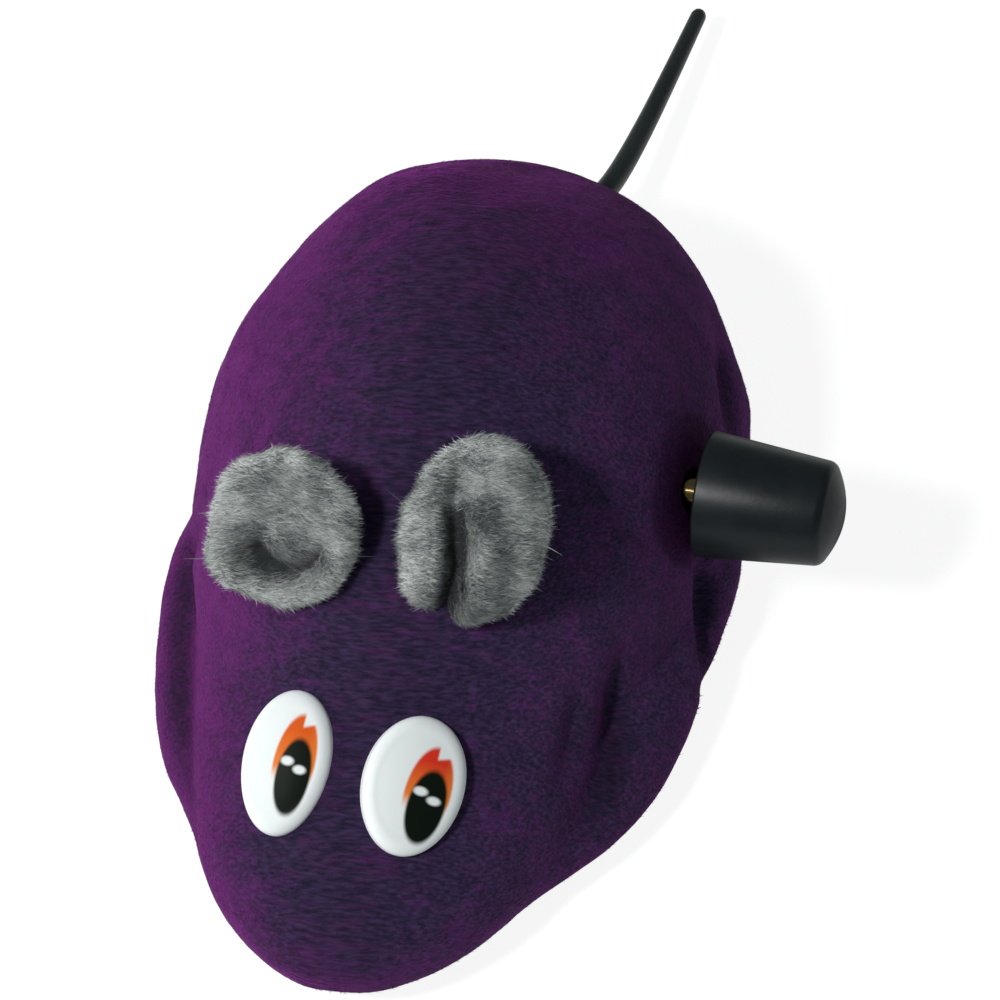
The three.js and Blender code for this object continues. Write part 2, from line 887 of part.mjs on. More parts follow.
function gearOutline(teeth, phase) {
  const outline = [];
  const pitchAngle = (2 * Math.PI) / teeth;
  const root = gearModule * (teeth / 2 - dedendumShare);
  const tip = tipRadius(teeth);
  for (let i = 0; i < teeth; i += 1) {
    const middle = phase + i * pitchAngle;
    outline.push(polar(root, middle - toothRootShare * pitchAngle));
    outline.push(polar(tip, middle - toothTipShare * pitchAngle));
    outline.push(polar(tip, middle + toothTipShare * pitchAngle));
    outline.push(polar(root, middle + toothRootShare * pitchAngle));
  }
  return new THREE.Shape(outline);
}

// Phases that put a tooth of one gear into a gap of the next along the line of centres

const toIdler = idler.clone().sub(arbor).angle();
const toAxle = axle.clone().sub(idler).angle();
const greatPhase = toIdler;
const idlerPinionPhase = toIdler + Math.PI + Math.PI / idlerPinionTeeth;
const idlerWheelPhase = toAxle;
const axlePinionPhase = toAxle + Math.PI + Math.PI / axlePinionTeeth;

function rivetPlace() {
  return polar(clickRivetReach, toIdler + Math.PI / gearWindowCount + Math.PI / 2);
}

function greatWheel() {
  const outline = gearOutline(greatTeeth, greatPhase);
  outline.holes.push(roundHole(new THREE.Vector2(0, 0), arborRadius + fitGap));
  const windowReach = (arborRadius + greatTipRadius) / 2;
  const rivetAngle = rivetPlace().angle();
  for (let i = 0; i < gearWindowCount; i += 1) {
    const angle = rivetAngle + ((i + 1 / 2) * 2 * Math.PI) / gearWindowCount;
    outline.holes.push(roundHole(polar(windowReach, angle), greatWindowRadius));
  }
  outline.holes.push(roundHole(rivetPlace(), clickRivetRadius + fitGap));
  return slabX(outline, greatX, greatX + greatThickness);
}

function idlerGear() {
  const wheel = gearOutline(idlerWheelTeeth, idlerWheelPhase);
  const pinion = gearOutline(idlerPinionTeeth, idlerPinionPhase);
  const bore = rodX(idlerArborRadius + fitGap, rightPlateX, leftPlateX);
  return cut(
    join(
      slabX(wheel, idlerX, idlerX + idlerThickness),
      slabX(pinion, greatX - pinionOverlap, idlerX + idlerThickness / 2),
    ),
    bore,
  );
}

function axlePinion() {
  const outline = gearOutline(axlePinionTeeth, axlePinionPhase);
  outline.holes.push(roundHole(new THREE.Vector2(0, 0), axleRadius + fitGap));
  return slabX(outline, idlerX - pinionOverlap, idlerX + idlerThickness + pinionOverlap);
}

// Ratchet wheel on the arbor, and the spring click that the great wheel carries

function ratchetWheel() {
  const outline = [];
  for (let i = 0; i < ratchetTeeth; i += 1) {
    const angle = (2 * Math.PI * i) / ratchetTeeth;
    outline.push(polar(ratchetRadius, angle));
    outline.push(polar(ratchetRadius - ratchetDepth, angle));
  }
  const shape = new THREE.Shape(outline.reverse());
  shape.holes.push(roundHole(new THREE.Vector2(0, 0), arborRadius + fitGap));
  return slabX(shape, ratchetX, ratchetX + ratchetThickness);
}

function click() {
  const rivet = rivetPlace();
  const angle = rivet.angle();
  const nose = polar(ratchetRadius + fitGap + clickStrip / 2, angle - clickSweep);
  const strip = wrapOutline([
    { at: rivet, radius: clickStrip / 2 },
    { at: nose, radius: clickStrip / 2 },
  ]);
  const toX = greatX - fitGap;
  const fromX = toX - clickThickness;
  const head = rodX(clickRivetRadius + clickStrip, fromX, toX).translate(0, rivet.x, rivet.y);
  const stem = rodX(clickRivetRadius, fromX, greatX + greatThickness).translate(0, rivet.x, rivet.y);
  return join(slabX(strip, fromX, toX), head, stem);
}

// Mainspring: one strip wound round the arbor, its outer end drawn out to the front pillar

function springReach(turns) {
  const wound = arborRadius + fitGap + springStrip / 2 + springPitch * Math.min(turns, springTurns);
  if (turns <= springTurns) {
    return wound;
  }
  const pillarReach = pillarPlaces().front.clone().sub(arbor).length();
  const end = pillarReach - pillarRadius - fitGap - springStrip / 2;
  const share = ((turns - springTurns) * 360) / springHookDegrees;
  return lerp(wound, end, share * share * (3 - 2 * share));
}

function springLine() {
  const total = springTurns + springHookDegrees / 360;
  const steps = Math.round(total * springStepsPerTurn);
  const endAngle = pillarPlaces().front.clone().sub(arbor).angle();
  return Array.from({ length: steps + 1 }, (_, i) => {
    const turns = (total * i) / steps;
    return polar(springReach(turns), endAngle - 2 * Math.PI * (total - turns));
  });
}

function mainspring() {
  const line = springLine();
  const aside = line.map((p, i) => {
    const ahead = line[Math.min(i + 1, line.length - 1)];
    const behind = line[Math.max(i - 1, 0)];
    const along = ahead.clone().sub(behind).normalize();
    return new THREE.Vector2(along.y, -along.x).multiplyScalar(springStrip / 2);
  });
  const rings = line.map((p, i) => [
    [p.clone().add(aside[i]), springX],
    [p.clone().sub(aside[i]), springX],
    [p.clone().sub(aside[i]), springX + springWidth],
    [p.clone().add(aside[i]), springX + springWidth],
  ].map(([q, x]) => new THREE.Vector3(x, q.x, q.y)));
  return loft(rings);
}

function springLeastGap() {
  const line = springLine();
  let least = Infinity;
  line.forEach((p, i) => {
    for (let j = i + springStepsPerTurn / 2; j < line.length; j += 1) {
      least = Math.min(least, p.distanceTo(line[j]) - springStrip);
    }
  });
  return least;
}

// Motor frame: two plates held apart by four pillars

function pillarPlaces() {
  const clear = pillarRadius + fitGap + endPlay;
  return {
    front: polar(greatTipRadius + clear, frontPillarBearing).add(arbor),
    top: polar(greatTipRadius + clear, topPillarBearing).add(arbor),
    rear: polar(idlerTipRadius + clear, rearPillarBearing).add(idler),
    lower: polar(greatTipRadius + clear, lowerPillarBearing).add(arbor),
  };
}

function motorPlate(side) {
  const plateX = side > 0 ? leftPlateX : rightPlateX - plateThickness;
  const footRadius = plateMargin;
  const footZ = rimHeight + footRadius;
  const pillars = Object.values(pillarPlaces());
  const outline = wrapOutline([
    { at: arbor, radius: greatTipRadius + plateMargin },
    { at: idler, radius: idlerTipRadius + plateMargin },
    { at: axle, radius: axlePinionTeeth * gearModule },
    { at: new THREE.Vector2(footY + footRadius, footZ), radius: footRadius },
    { at: new THREE.Vector2(axleY + (axlePinionTeeth * gearModule) / 2, footZ), radius: footRadius },
    ...pillars.map((at) => ({ at, radius: pillarRadius + plateMargin })),
  ]);
  outline.holes.push(roundHole(arbor, arborRadius + fitGap));
  outline.holes.push(roundHole(idler, idlerArborRadius + fitGap));
  outline.holes.push(roundHole(axle, axleRadius + fitGap));
  for (const at of pillars) {
    outline.holes.push(roundHole(at, pillarTenonRadius + fitGap));
  }
  const edge = side > 0 ? plateX : plateX + plateThickness;
  const foot = box(
    Math.min(edge, edge + side * (plateThickness + footReach)),
    Math.max(edge, edge + side * (plateThickness + footReach)),
    footY,
    footY + footLength,
    rimHeight,
    rimHeight + footThickness,
  );
  const [x, y] = motorScrewPlaces()[side > 0 ? 0 : 1];
  const holeTop = rimHeight + footThickness + cutOverrun;
  const hole = rodZ(screwShankRadius + fitGap, rimHeight - cutOverrun, holeTop).translate(x, y, 0);
  return cut(join(slabX(outline, plateX, plateX + plateThickness), foot), hole);
}

function pillar() {
  const from = rightPlateX + fitGap;
  const to = leftPlateX - fitGap;
  const outerFrom = rightPlateX - plateThickness;
  const outerTo = leftPlateX + plateThickness;
  return turnedX([
    [0, outerFrom],
    [pillarTenonRadius, outerFrom],
    [pillarTenonRadius, from],
    [pillarRadius, from],
    [pillarRadius, to],
    [pillarTenonRadius, to],
    [pillarTenonRadius, outerTo],
    [0, outerTo],
  ], smallSteps);
}

// Drive wheels and tyres

function driveWheel(side) {
  const outer = wheelRadius - tyreThickness - fitGap;
  const half = wheelWidth / 2;
  const web = wheelWebThickness / 2;
  const bore = axleRadius + fitGap;
  const body = turnedX([
    [bore, -half],
    [wheelHubRadius, -half],
    [wheelHubRadius, -web],
    [outer - wheelRimThickness, -web],
    [outer - wheelRimThickness, -half],
    [outer, -half],
    [outer, half],
    [outer - wheelRimThickness, half],
    [outer - wheelRimThickness, web],
    [wheelHubRadius, web],
    [wheelHubRadius, half],
    [bore, half],
    [bore, -half],
  ], wheelSteps);
  const reach = (wheelHubRadius + outer - wheelRimThickness) / 2;
  const holes = Array.from({ length: wheelHoleCount }, (_, i) => {
    const p = polar(reach, (2 * Math.PI * i) / wheelHoleCount);
    return rodX(wheelHoleRadius, -wheelWidth, wheelWidth, holeSteps).translate(0, p.x, p.y);
  });
  return cut(body, ...holes).translate(side * (wheelInnerX + half), 0, 0);
}

function driveTyre(side) {
  const half = wheelWidth / 2;
  const inner = wheelRadius - tyreThickness;
  const crown = tyreThickness / 3;
  return turnedX([
    [inner, -half],
    [wheelRadius - crown, -half],
    [wheelRadius, -half + crown],
    [wheelRadius, half - crown],
    [wheelRadius - crown, half],
    [inner, half],
    [inner, -half],
  ]).translate(side * (wheelInnerX + half), 0, 0);
}

// Winding shaft and knob

function windingShaft() {
  return rodX(arborRadius, rightPlateX - plateThickness - shaftEndLength, knobX + knobSocketDepth);
}

function windingKnob() {
  const bore = arborRadius + fitGap;
  const rise = knobEdge;
  const profile = [
    [0, knobSocketDepth + fitGap],
    [bore, knobSocketDepth + fitGap],
    [bore, 0],
    [knobInnerRadius - knobEdge / 3, 0],
    [knobInnerRadius, knobEdge / 3],
  ];
  for (const share of [0, 1 / 3, 2 / 3, 1]) {
    const angle = (share * Math.PI) / 2;
    profile.push([
      knobOuterRadius - rise * (1 - Math.cos(angle)),
      knobLength - rise * (1 - Math.sin(angle)),
    ]);
  }
  for (const share of [1 / 2, 0]) {
    profile.push([(knobOuterRadius - rise) * share, knobLength + knobDome * (1 - share ** 2)]);
  }
  return turnedX(profile).translate(knobX, 0, 0);
}

// Assembly

function finish(color, roughness, metalness = 0) {
  return new THREE.MeshStandardMaterial({ color, roughness, metalness });
}

function addPart(parent, name, geometry, material) {
  const mesh = new THREE.Mesh(geometry, material);
  mesh.name = name;
  parent.add(mesh);
  return mesh;
}

function turningGroup(parent, at) {
  const group = new THREE.Group();
  group.position.set(0, at.x, at.y);
  parent.add(group);
  return group;
}

function addBody(mouse) {
  addPart(mouse, 'fabric_cover', fabricCover(), finish(0x3a1550, 0.95));
  addPart(mouse, 'body_shell', bodyShell(), finish(0x2b2b2e, 0.6));
  addPart(mouse, 'base_plate', basePlate(), finish(0x17171a, 0.55));
  addPart(mouse, 'tail', tail(), finish(0x121313, 0.5));
  const sides = { left: 1, right: -1 };
  for (const [name, side] of Object.entries(sides)) {
    addPart(mouse, `eye_${name}`, eye(side), finish(0xf2f2f0, 0.25));
    const height = side > 0 ? earHeightLeft : earHeightRight;
    const baseY = side > 0 ? earBaseYLeft : earBaseYRight;
    addPart(mouse, `ear_${name}`, ear(side, height, baseY), finish(0x7d7f80, 0.95));
  }
  const bossNames = ['front', 'rear_left', 'rear_right'];
  bossPlaces().forEach(([x, y], i) => {
    const name = `base_screw_${bossNames[i]}`;
    addPart(mouse, name, screw(baseScrewLength), finish(0xb8b9bb, 0.35, 1)).position.set(x, y, baseBottom);
  });
}

function addRoller(mouse) {
  const group = turningGroup(mouse, new THREE.Vector2(rollerY, rollerRadius));
  addPart(group, 'front_roller', roller(), finish(0x1b1b1d, 0.5));
  addPart(group, 'roller_pin', rollerPin(), finish(0xb8b9bb, 0.35, 1));
}

function addMotorFrame(mouse) {
  addPart(mouse, 'motor_plate_left', motorPlate(1), finish(0xaeb1b4, 0.4, 1));
  addPart(mouse, 'motor_plate_right', motorPlate(-1), finish(0xaeb1b4, 0.4, 1));
  for (const [name, at] of Object.entries(pillarPlaces())) {
    addPart(turningGroup(mouse, at), `frame_pillar_${name}`, pillar(), finish(0xb8b9bb, 0.35, 1));
  }
  const screwNames = ['left', 'right'];
  motorScrewPlaces().forEach(([x, y], i) => {
    const name = `motor_screw_${screwNames[i]}`;
    addPart(mouse, name, screw(motorScrewLength), finish(0xb8b9bb, 0.35, 1)).position.set(x, y, baseBottom);
  });
}

function addMotor(mouse) {
  const arborGroup = turningGroup(mouse, arbor);
  addPart(arborGroup, 'winding_shaft', windingShaft(), finish(0xc9a24a, 0.35, 1));
  addPart(arborGroup, 'winding_knob', windingKnob(), finish(0x0c0d0e, 0.35));
  addPart(arborGroup, 'ratchet_wheel', ratchetWheel(), finish(0xb8b9bb, 0.35, 1));
  addPart(arborGroup, 'great_wheel', greatWheel(), finish(0xd8b25a, 0.4, 1));
  addPart(arborGroup, 'click', click(), finish(0x8d8f92, 0.35, 1));
  addPart(arborGroup, 'mainspring', mainspring(), finish(0x54606e, 0.3, 1));
  const idlerGroup = turningGroup(mouse, idler);
  addPart(idlerGroup, 'idler_gear', idlerGear(), finish(0xe9e6dc, 0.5));
  const idlerArbor = rodX(idlerArborRadius, rightPlateX - plateThickness, leftPlateX + plateThickness);
  addPart(idlerGroup, 'idler_arbor', idlerArbor, finish(0xb8b9bb, 0.3, 1));
  const axleGroup = turningGroup(mouse, axle);
  const axleHalf = wheelInnerX + wheelWidth + axleEndLength;
  addPart(axleGroup, 'drive_axle', rodX(axleRadius, -axleHalf, axleHalf), finish(0xb8b9bb, 0.3, 1));
  addPart(axleGroup, 'axle_pinion', axlePinion(), finish(0xe9e6dc, 0.5));
  const sides = { left: 1, right: -1 };
  for (const [name, side] of Object.entries(sides)) {
    addPart(axleGroup, `drive_wheel_${name}`, driveWheel(side), finish(0x1b1b1d, 0.5));
    addPart(axleGroup, `drive_tyre_${name}`, driveTyre(side), finish(0x101011, 0.85));
  }
}

const mouse = new THREE.Group();
addBody(mouse);
addRoller(mouse);
addMotorFrame(mouse);
addMotor(mouse);

// The origin is the middle of the footprint, on the floor
const extent = new THREE.Box3().setFromObject(mouse);
const middle = extent.getCenter(new THREE.Vector3());
mouse.position.set(-middle.x, -middle.y, -extent.min.z);

const model = new THREE.Group();
model.add(mouse);

console.log(`mainspring least gap to itself ${springLeastGap().toFixed(2)} mm`);

export default model;
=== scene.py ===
import math

import bpy
import numpy as np
from bpy.props import FloatProperty, FloatVectorProperty, IntProperty, PointerProperty
from mathutils import Matrix, Vector


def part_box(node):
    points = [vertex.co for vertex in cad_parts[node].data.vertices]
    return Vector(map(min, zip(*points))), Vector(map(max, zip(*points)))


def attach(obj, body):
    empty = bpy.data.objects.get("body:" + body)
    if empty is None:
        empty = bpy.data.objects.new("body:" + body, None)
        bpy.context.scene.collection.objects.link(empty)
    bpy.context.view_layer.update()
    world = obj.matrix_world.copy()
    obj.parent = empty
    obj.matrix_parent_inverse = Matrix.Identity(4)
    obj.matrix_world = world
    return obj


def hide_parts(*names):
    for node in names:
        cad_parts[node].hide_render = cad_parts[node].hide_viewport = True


bl_info = {
    "name": "Clockwork toy mouse",
    "version": (1, 0, 0),
    "blender": (4, 5, 0),
    "location": "View3D > Sidebar > Mouse",
    "description": "Velour skin, plush ears, printed eyes, tail, knob and wheels around the packed model",
    "category": "Object",
}

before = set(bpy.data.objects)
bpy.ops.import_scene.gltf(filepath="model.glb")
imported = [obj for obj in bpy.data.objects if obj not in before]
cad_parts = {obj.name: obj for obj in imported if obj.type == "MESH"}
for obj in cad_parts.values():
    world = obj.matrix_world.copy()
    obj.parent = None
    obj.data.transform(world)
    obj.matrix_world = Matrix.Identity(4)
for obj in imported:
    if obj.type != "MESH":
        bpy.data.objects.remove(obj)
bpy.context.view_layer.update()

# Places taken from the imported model
MIDDLE_X = (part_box("base_plate")[0].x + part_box("base_plate")[1].x) / 2
AXLE = (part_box("drive_axle")[0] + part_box("drive_axle")[1]) / 2
ARBOR = (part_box("winding_shaft")[0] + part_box("winding_shaft")[1]) / 2
KNOB_LOW, KNOB_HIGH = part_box("winding_knob")
RIM_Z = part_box("fabric_cover")[0].z

# The trunk's centre stands this far ahead of the drive axle
TRUNK_AHEAD = 0.0135036
FORM_CENTRE = Vector((MIDDLE_X, AXLE.y - TRUNK_AHEAD, 0.007))
# The photograph's camera was solved from this point on the floor
SOLVED_ORIGIN = Vector((MIDDLE_X, AXLE.y - 0.0200036, 0))

SIDES = {"left": 1, "right": -1}

# An uneven field is the sum of this many waves, which seldom goes past the reach
WAVE_COUNT = 9
WAVE_REACH = 4.2


# Helpers for objects and meshes


def clear_selection():
    if bpy.context.object and bpy.context.object.mode != "OBJECT":
        bpy.ops.object.mode_set(mode="OBJECT")
    bpy.ops.object.select_all(action="DESELECT")
    bpy.context.view_layer.objects.active = None


def select_only(piece):
    clear_selection()
    piece.select_set(True)
    bpy.context.view_layer.objects.active = piece


def named(name):
    """The primitive that was just added, under its own name."""
    piece = bpy.context.object
    piece.name = name
    piece.data.name = name
    return piece


def settle(piece):
    """Puts an object's place, turn and scale into its mesh."""
    select_only(piece)
    bpy.ops.object.transform_apply(location=True, rotation=True, scale=True)


def modify(piece, kind, **settings):
    """Adds a modifier, sets it and applies it."""
    select_only(piece)
    modifier = piece.modifiers.new(kind.title(), kind)
    for key, value in settings.items():
        setattr(modifier, key, value)
    bpy.ops.object.modifier_apply(modifier=modifier.name)


def read(items, key, width=3, kind=float):
    """One row of values for each of a mesh's items, or one value where the width is 1."""
    values = np.empty(len(items) * width, kind)
    items.foreach_get(key, values)
    return values if width == 1 else values.reshape(-1, width)


def points_of(piece):
    return read(piece.data.vertices, "co")


def move_points(piece, places):
    piece.data.vertices.foreach_set("co", np.asarray(places, float).ravel())
    piece.data.update()


def add_value(piece, name, values):
    """Keeps one number for each vertex, which a material reads by name."""
    layer = piece.data.attributes.new(name, "FLOAT", "POINT")
    layer.data.foreach_set("value", np.ascontiguousarray(values, dtype=np.float32))


def face_table(piece):
    """Middles and normals of a mesh's faces."""
    return read(piece.data.polygons, "center"), read(piece.data.polygons, "normal")


def edit_all(piece):
    """Enters edit mode with everything selected."""
    select_only(piece)
    bpy.ops.object.mode_set(mode="EDIT")
    bpy.ops.mesh.select_all(action="SELECT")


def edit_chosen(piece, items, is_face, chosen):
    """Enters edit mode with only the chosen items selected."""
    select_only(piece)
    bpy.context.tool_settings.mesh_select_mode = (False, not is_face, is_face)
    bpy.ops.object.mode_set(mode="EDIT")
    bpy.ops.mesh.select_all(action="DESELECT")
    bpy.ops.object.mode_set(mode="OBJECT")
    items.foreach_set("select", np.asarray(chosen, bool))
    bpy.ops.object.mode_set(mode="EDIT")


def edit_faces(piece, chosen):
    edit_chosen(piece, piece.data.polygons, True, chosen)


def edit_edges(piece, chosen):
    edit_chosen(piece, piece.data.edges, False, chosen)


def leave_edit():
    bpy.ops.object.mode_set(mode="OBJECT")


def selected_points(piece):
    return read(piece.data.vertices, "select", 1, bool)


def edge_ends(piece):
    return read(piece.data.edges, "vertices", 2, int)


def open_edges(piece):
    """Marks the edges that only one face uses."""
    loops = read(piece.data.loops, "edge_index", 1, int)
    return np.bincount(loops, minlength=len(piece.data.edges)) == 1


def smooth(piece, degrees=None):
    select_only(piece)
    if degrees is None:
        bpy.ops.object.shade_smooth()
    else:
        bpy.ops.object.shade_smooth_by_angle(angle=math.radians(degrees))


def outward(piece):
    """Turns all faces of a closed mesh outwards."""
    edit_all(piece)
    bpy.ops.mesh.remove_doubles(threshold=1e-6)
    bpy.ops.mesh.normals_make_consistent(inside=False)
    leave_edit()


def add_object(name, data):
    """A new object in the scene for a mesh, curve, lamp or camera."""
    added = bpy.data.objects.new(name, data)
    bpy.context.scene.collection.objects.link(added)
    return added


def turned(name, profile, centre, axis="X", steps=96):
    """Spins a profile of (along, radius) points about an axis through the centre."""
    spins = {"X": Vector((1, 0, 0)), "Z": Vector((0, 0, 1))}
    spin = spins[axis]
    out = Vector((0, 1, 0))
    rows = [Vector(centre) + spin * along + out * radius for along, radius in profile]
    edges = [(k, k + 1) for k in range(len(rows) - 1)]
    if profile[0][1] > 0:
        edges.append((len(rows) - 1, 0))
    mesh = bpy.data.meshes.new(name)
    mesh.from_pydata(rows, edges, [])
    piece = add_object(name, mesh)
    edit_all(piece)
    bpy.ops.mesh.spin(steps=steps, angle=2 * math.pi, center=centre, axis=spin, use_auto_merge=True)
    leave_edit()
    outward(piece)
    return piece


def arc(along, radius, size, start, end, steps=6):
    """Points of a profile round a corner whose centre is (along, radius). Angles in degrees."""
    angles = np.radians(np.linspace(start, end, steps + 1))
    return [(along + size * math.cos(a), radius + size * math.sin(a)) for a in angles]


def dress(piece, material):
    piece.data.materials.clear()
    piece.data.materials.append(material)


def place_piece(piece, body, slot, *nodes):
    """A finished piece rides on its body and stands for its CAD nodes. The slot is not used."""
    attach(piece, body)
    if nodes:
        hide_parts(*nodes)


def finish_piece(piece, degrees, material, body, slot, *nodes):
    """Smooths a piece, sharp past an angle if one is given, dresses it and places it."""
    smooth(piece, degrees)
    dress(piece, material)
    place_piece(piece, body, slot, *nodes)


def unit_rows(rows):
    return rows / np.linalg.norm(rows, axis=1)[:, None]


def smooth_step(value, low, high):
    share = ((value - low) / (high - low)).clip(0, 1)
    return share ** 2 * (3 - 2 * share)


def bell(away, width):
    """1 at no distance, falling off smoothly over the width."""
    return np.exp(-(away / width) ** 2)


def from_arbor(places):
    """Distance from the line of the winding shaft."""
    return np.hypot(places[:, 1] - ARBOR.y, places[:, 2] - ARBOR.z)


def waves(places, size, seed):
    """A smooth field of about -1 to 1 whose swells are of the given size."""
    generator = np.random.default_rng(seed)
    directions = unit_rows(generator.normal(size=(WAVE_COUNT, 3)))
    rates = (2 * math.pi / size) * generator.uniform(0.6, 1.5, WAVE_COUNT)
    starts = generator.uniform(0, 2 * math.pi, WAVE_COUNT)
    return np.sin((places @ directions.T) * rates + starts).sum(axis=1) / WAVE_REACH


# Helpers for materials


def feed(tree, node, inputs):
    """Links a node's inputs to sockets, or sets them to plain values."""
    for key, value in inputs.items():
        if isinstance(value, bpy.types.NodeSocket):
            tree.links.new(value, node.inputs[key])
        else:
            node.inputs[key].default_value = value


def put(tree, kind, inputs=None, **settings):
    """Adds a node, sets its properties and feeds its inputs."""
    node = tree.nodes.new(kind)
    for key, value in settings.items():
        setattr(node, key, value)
    feed(tree, node, inputs or {})
    return node


def math_node(tree, operation, *values, clamp=False):
    inputs = dict(enumerate(values))
    return put(tree, "ShaderNodeMath", inputs, operation=operation, use_clamp=clamp).outputs[0]


def remap(tree, value, low, high, to_low=0.0, to_high=1.0, kind="LINEAR"):
    inputs = {"Value": value, "From Min": low, "From Max": high, "To Min": to_low, "To Max": to_high}
    return put(tree, "ShaderNodeMapRange", inputs, interpolation_type=kind).outputs["Result"]


def blend_colour(tree, share, first, second):
    inputs = {0: share, 6: first, 7: second}
    return put(tree, "ShaderNodeMix", inputs, data_type="RGBA").outputs[2]


def scale_colour(tree, colour, light):
    inputs = {0: colour, "Scale": light}
    return put(tree, "ShaderNodeVectorMath", inputs, operation="SCALE").outputs[0]


def noise(tree, vector, scale, detail, roughness=0.5):
    inputs = {"Vector": vector, "Scale": scale, "Detail": detail, "Roughness": roughness}
    return put(tree, "ShaderNodeTexNoise", inputs).outputs["Fac"]


def stretched(tree, vector, factors):
    """A pattern's place, scaled along each axis."""
    scale = put(tree, "ShaderNodeCombineXYZ", dict(zip("XYZ", factors))).outputs[0]
    return put(tree, "ShaderNodeVectorMath", {0: vector, 1: scale}, operation="MULTIPLY").outputs[0]


def bump(tree, height, strength, distance):
    inputs = {"Height": height, "Strength": strength, "Distance": distance}
    return put(tree, "ShaderNodeBump", inputs).outputs[0]


def attribute(tree, name):
    return put(tree, "ShaderNodeAttribute", attribute_name=name).outputs["Fac"]


def rgba(colour):
    return (*colour[:3], 1.0)


def object_place(tree):
    return put(tree, "ShaderNodeTexCoord").outputs["Object"]


def new_material(name):
    material = bpy.data.materials.new(name)
    material.use_nodes = True
    tree = material.node_tree
    shader = tree.nodes["Principled BSDF"]
    return material, tree, shader


def new_group(name, inputs, outputs):
    """An empty shader node group. Inputs are (name, default) pairs."""
    group = bpy.data.node_groups.new(name, "ShaderNodeTree")
    for label, default in inputs:
        kind = "NodeSocketVector" if default is None else "NodeSocketFloat"
        socket = group.interface.new_socket(label, in_out="INPUT", socket_type=kind)
        if default is not None:
            socket.default_value = default
    for label in outputs:
        group.interface.new_socket(label, in_out="OUTPUT", socket_type="NodeSocketFloat")
    return group, group.nodes.new("NodeGroupInput").outputs, group.nodes.new("NodeGroupOutput")


def use_group(tree, name, inputs):
    """Places a shared effect, which is built the first time that it is used."""
    if name not in GROUPS:
        GROUPS[name] = GROUP_BUILDERS[name]()
    return put(tree, "ShaderNodeGroup", inputs, node_tree=GROUPS[name]).outputs


def nap_group():
    """Pile that lies one way: large patches, and streaks drawn out along the nap."""
    inputs = [
        ("Vector", None),
        ("Turn", 0.0),
        ("Patch Scale", 90.0),
        ("Streak Scale", 900.0),
        ("Stretch", 0.2),
    ]
    group, given, end = new_group("NapStreaks", inputs, ["Patch", "Streak", "Fibre"])
    turn = put(group, "ShaderNodeCombineXYZ", {"Z": given["Turn"]}).outputs[0]
    laid = put(group, "ShaderNodeVectorRotate", {
        "Vector": given["Vector"],
        "Rotation": turn,
    }, rotation_type="EULER_XYZ").outputs[0]
    along = stretched(group, laid, (given["Stretch"], 1.0, 1.0))
    finer = math_node(group, "MULTIPLY", given["Streak Scale"], 3.2)
    patch = noise(group, laid, given["Patch Scale"], 3.0, 0.55)
    streak = noise(group, along, given["Streak Scale"], 4.0, 0.6)
    fibre = noise(group, along, finer, 2.0)
    feed(group, end, {
        "Patch": remap(group, patch, 0.32, 0.68),
        "Streak": remap(group, streak, 0.3, 0.7),
        "Fibre": remap(group, fibre, 0.3, 0.7),
    })
    return group


def grain_group():
    """The fine grain and soft mottling of a moulded surface."""
    inputs = [("Vector", None), ("Grain Scale", 2600.0), ("Mottle Scale", 160.0)]
    group, given, end = new_group("MouldedGrain", inputs, ["Grain", "Mottle"])
    grain = noise(group, given["Vector"], given["Grain Scale"], 3.0)
    mottle = noise(group, given["Vector"], given["Mottle Scale"], 4.0, 0.6)
    feed(group, end, {
        "Grain": remap(group, grain, 0.3, 0.7),
        "Mottle": remap(group, mottle, 0.3, 0.7),
    })
    return group


def brushed_group():
    """Fine lines along one direction, as rolled or turned metal has."""
    inputs = [("Vector", None), ("Along X", 40.0), ("Along Y", 2200.0), ("Along Z", 2200.0)]
    group, given, end = new_group("BrushedLines", inputs, ["Line", "Smudge"])
    along = stretched(group, given["Vector"], [given[f"Along {axis}"] for axis in "XYZ"])
    line = noise(group, along, 1.0, 3.0)
    smudge = noise(group, given["Vector"], 260.0, 3.0)
    feed(group, end, {
        "Line": remap(group, line, 0.3, 0.7),
        "Smudge": remap(group, smudge, 0.35, 0.65),
    })
    return group


def oval_group():
    """A printed oval in a piece's UV plane: 1 inside, 0 outside, with a soft edge."""
    inputs = [
        ("U", 0.0),
        ("V", 0.0),
        ("Centre U", 0.0),
        ("Centre V", 0.0),
        ("Half Width", 0.5),
        ("Half Height", 0.5),
        ("Lean", 0.0),
        ("Softness", 0.05),
    ]
    group, given, end = new_group("PrintedOval", inputs, ["Mask"])

    def calc(operation, *values):
        return math_node(group, operation, *values)

    up = calc("SUBTRACT", given["V"], given["Centre V"])
    shear = calc("MULTIPLY", up, given["Lean"])
    across = calc("SUBTRACT", calc("SUBTRACT", given["U"], given["Centre U"]), shear)
    across = calc("DIVIDE", across, given["Half Width"])
    up = calc("DIVIDE", up, given["Half Height"])
    reach = calc("SQRT", calc("ADD", calc("MULTIPLY", across, across), calc("MULTIPLY", up, up)))
    low = calc("SUBTRACT", 1.0, given["Softness"])
    high = calc("ADD", 1.0, given["Softness"])
    feed(group, end, {"Mask": remap(group, reach, low, high, 1.0, 0.0, "SMOOTHSTEP")})
    return group


GROUPS = {}
GROUP_BUILDERS = {"nap": nap_group, "grain": grain_group, "brushed": brushed_group, "oval": oval_group}


# Materials

# Centre and half size of the two lights in a pupil, as shares of the plate's half width and height
EYE_LIGHTS = (((-0.03, 0.0), (0.14, 0.06)), ((0.27, -0.09), (0.135, 0.058)))
# Turn of the velour's and the plush's nap about the vertical
NAP_TURN = math.radians(-8)


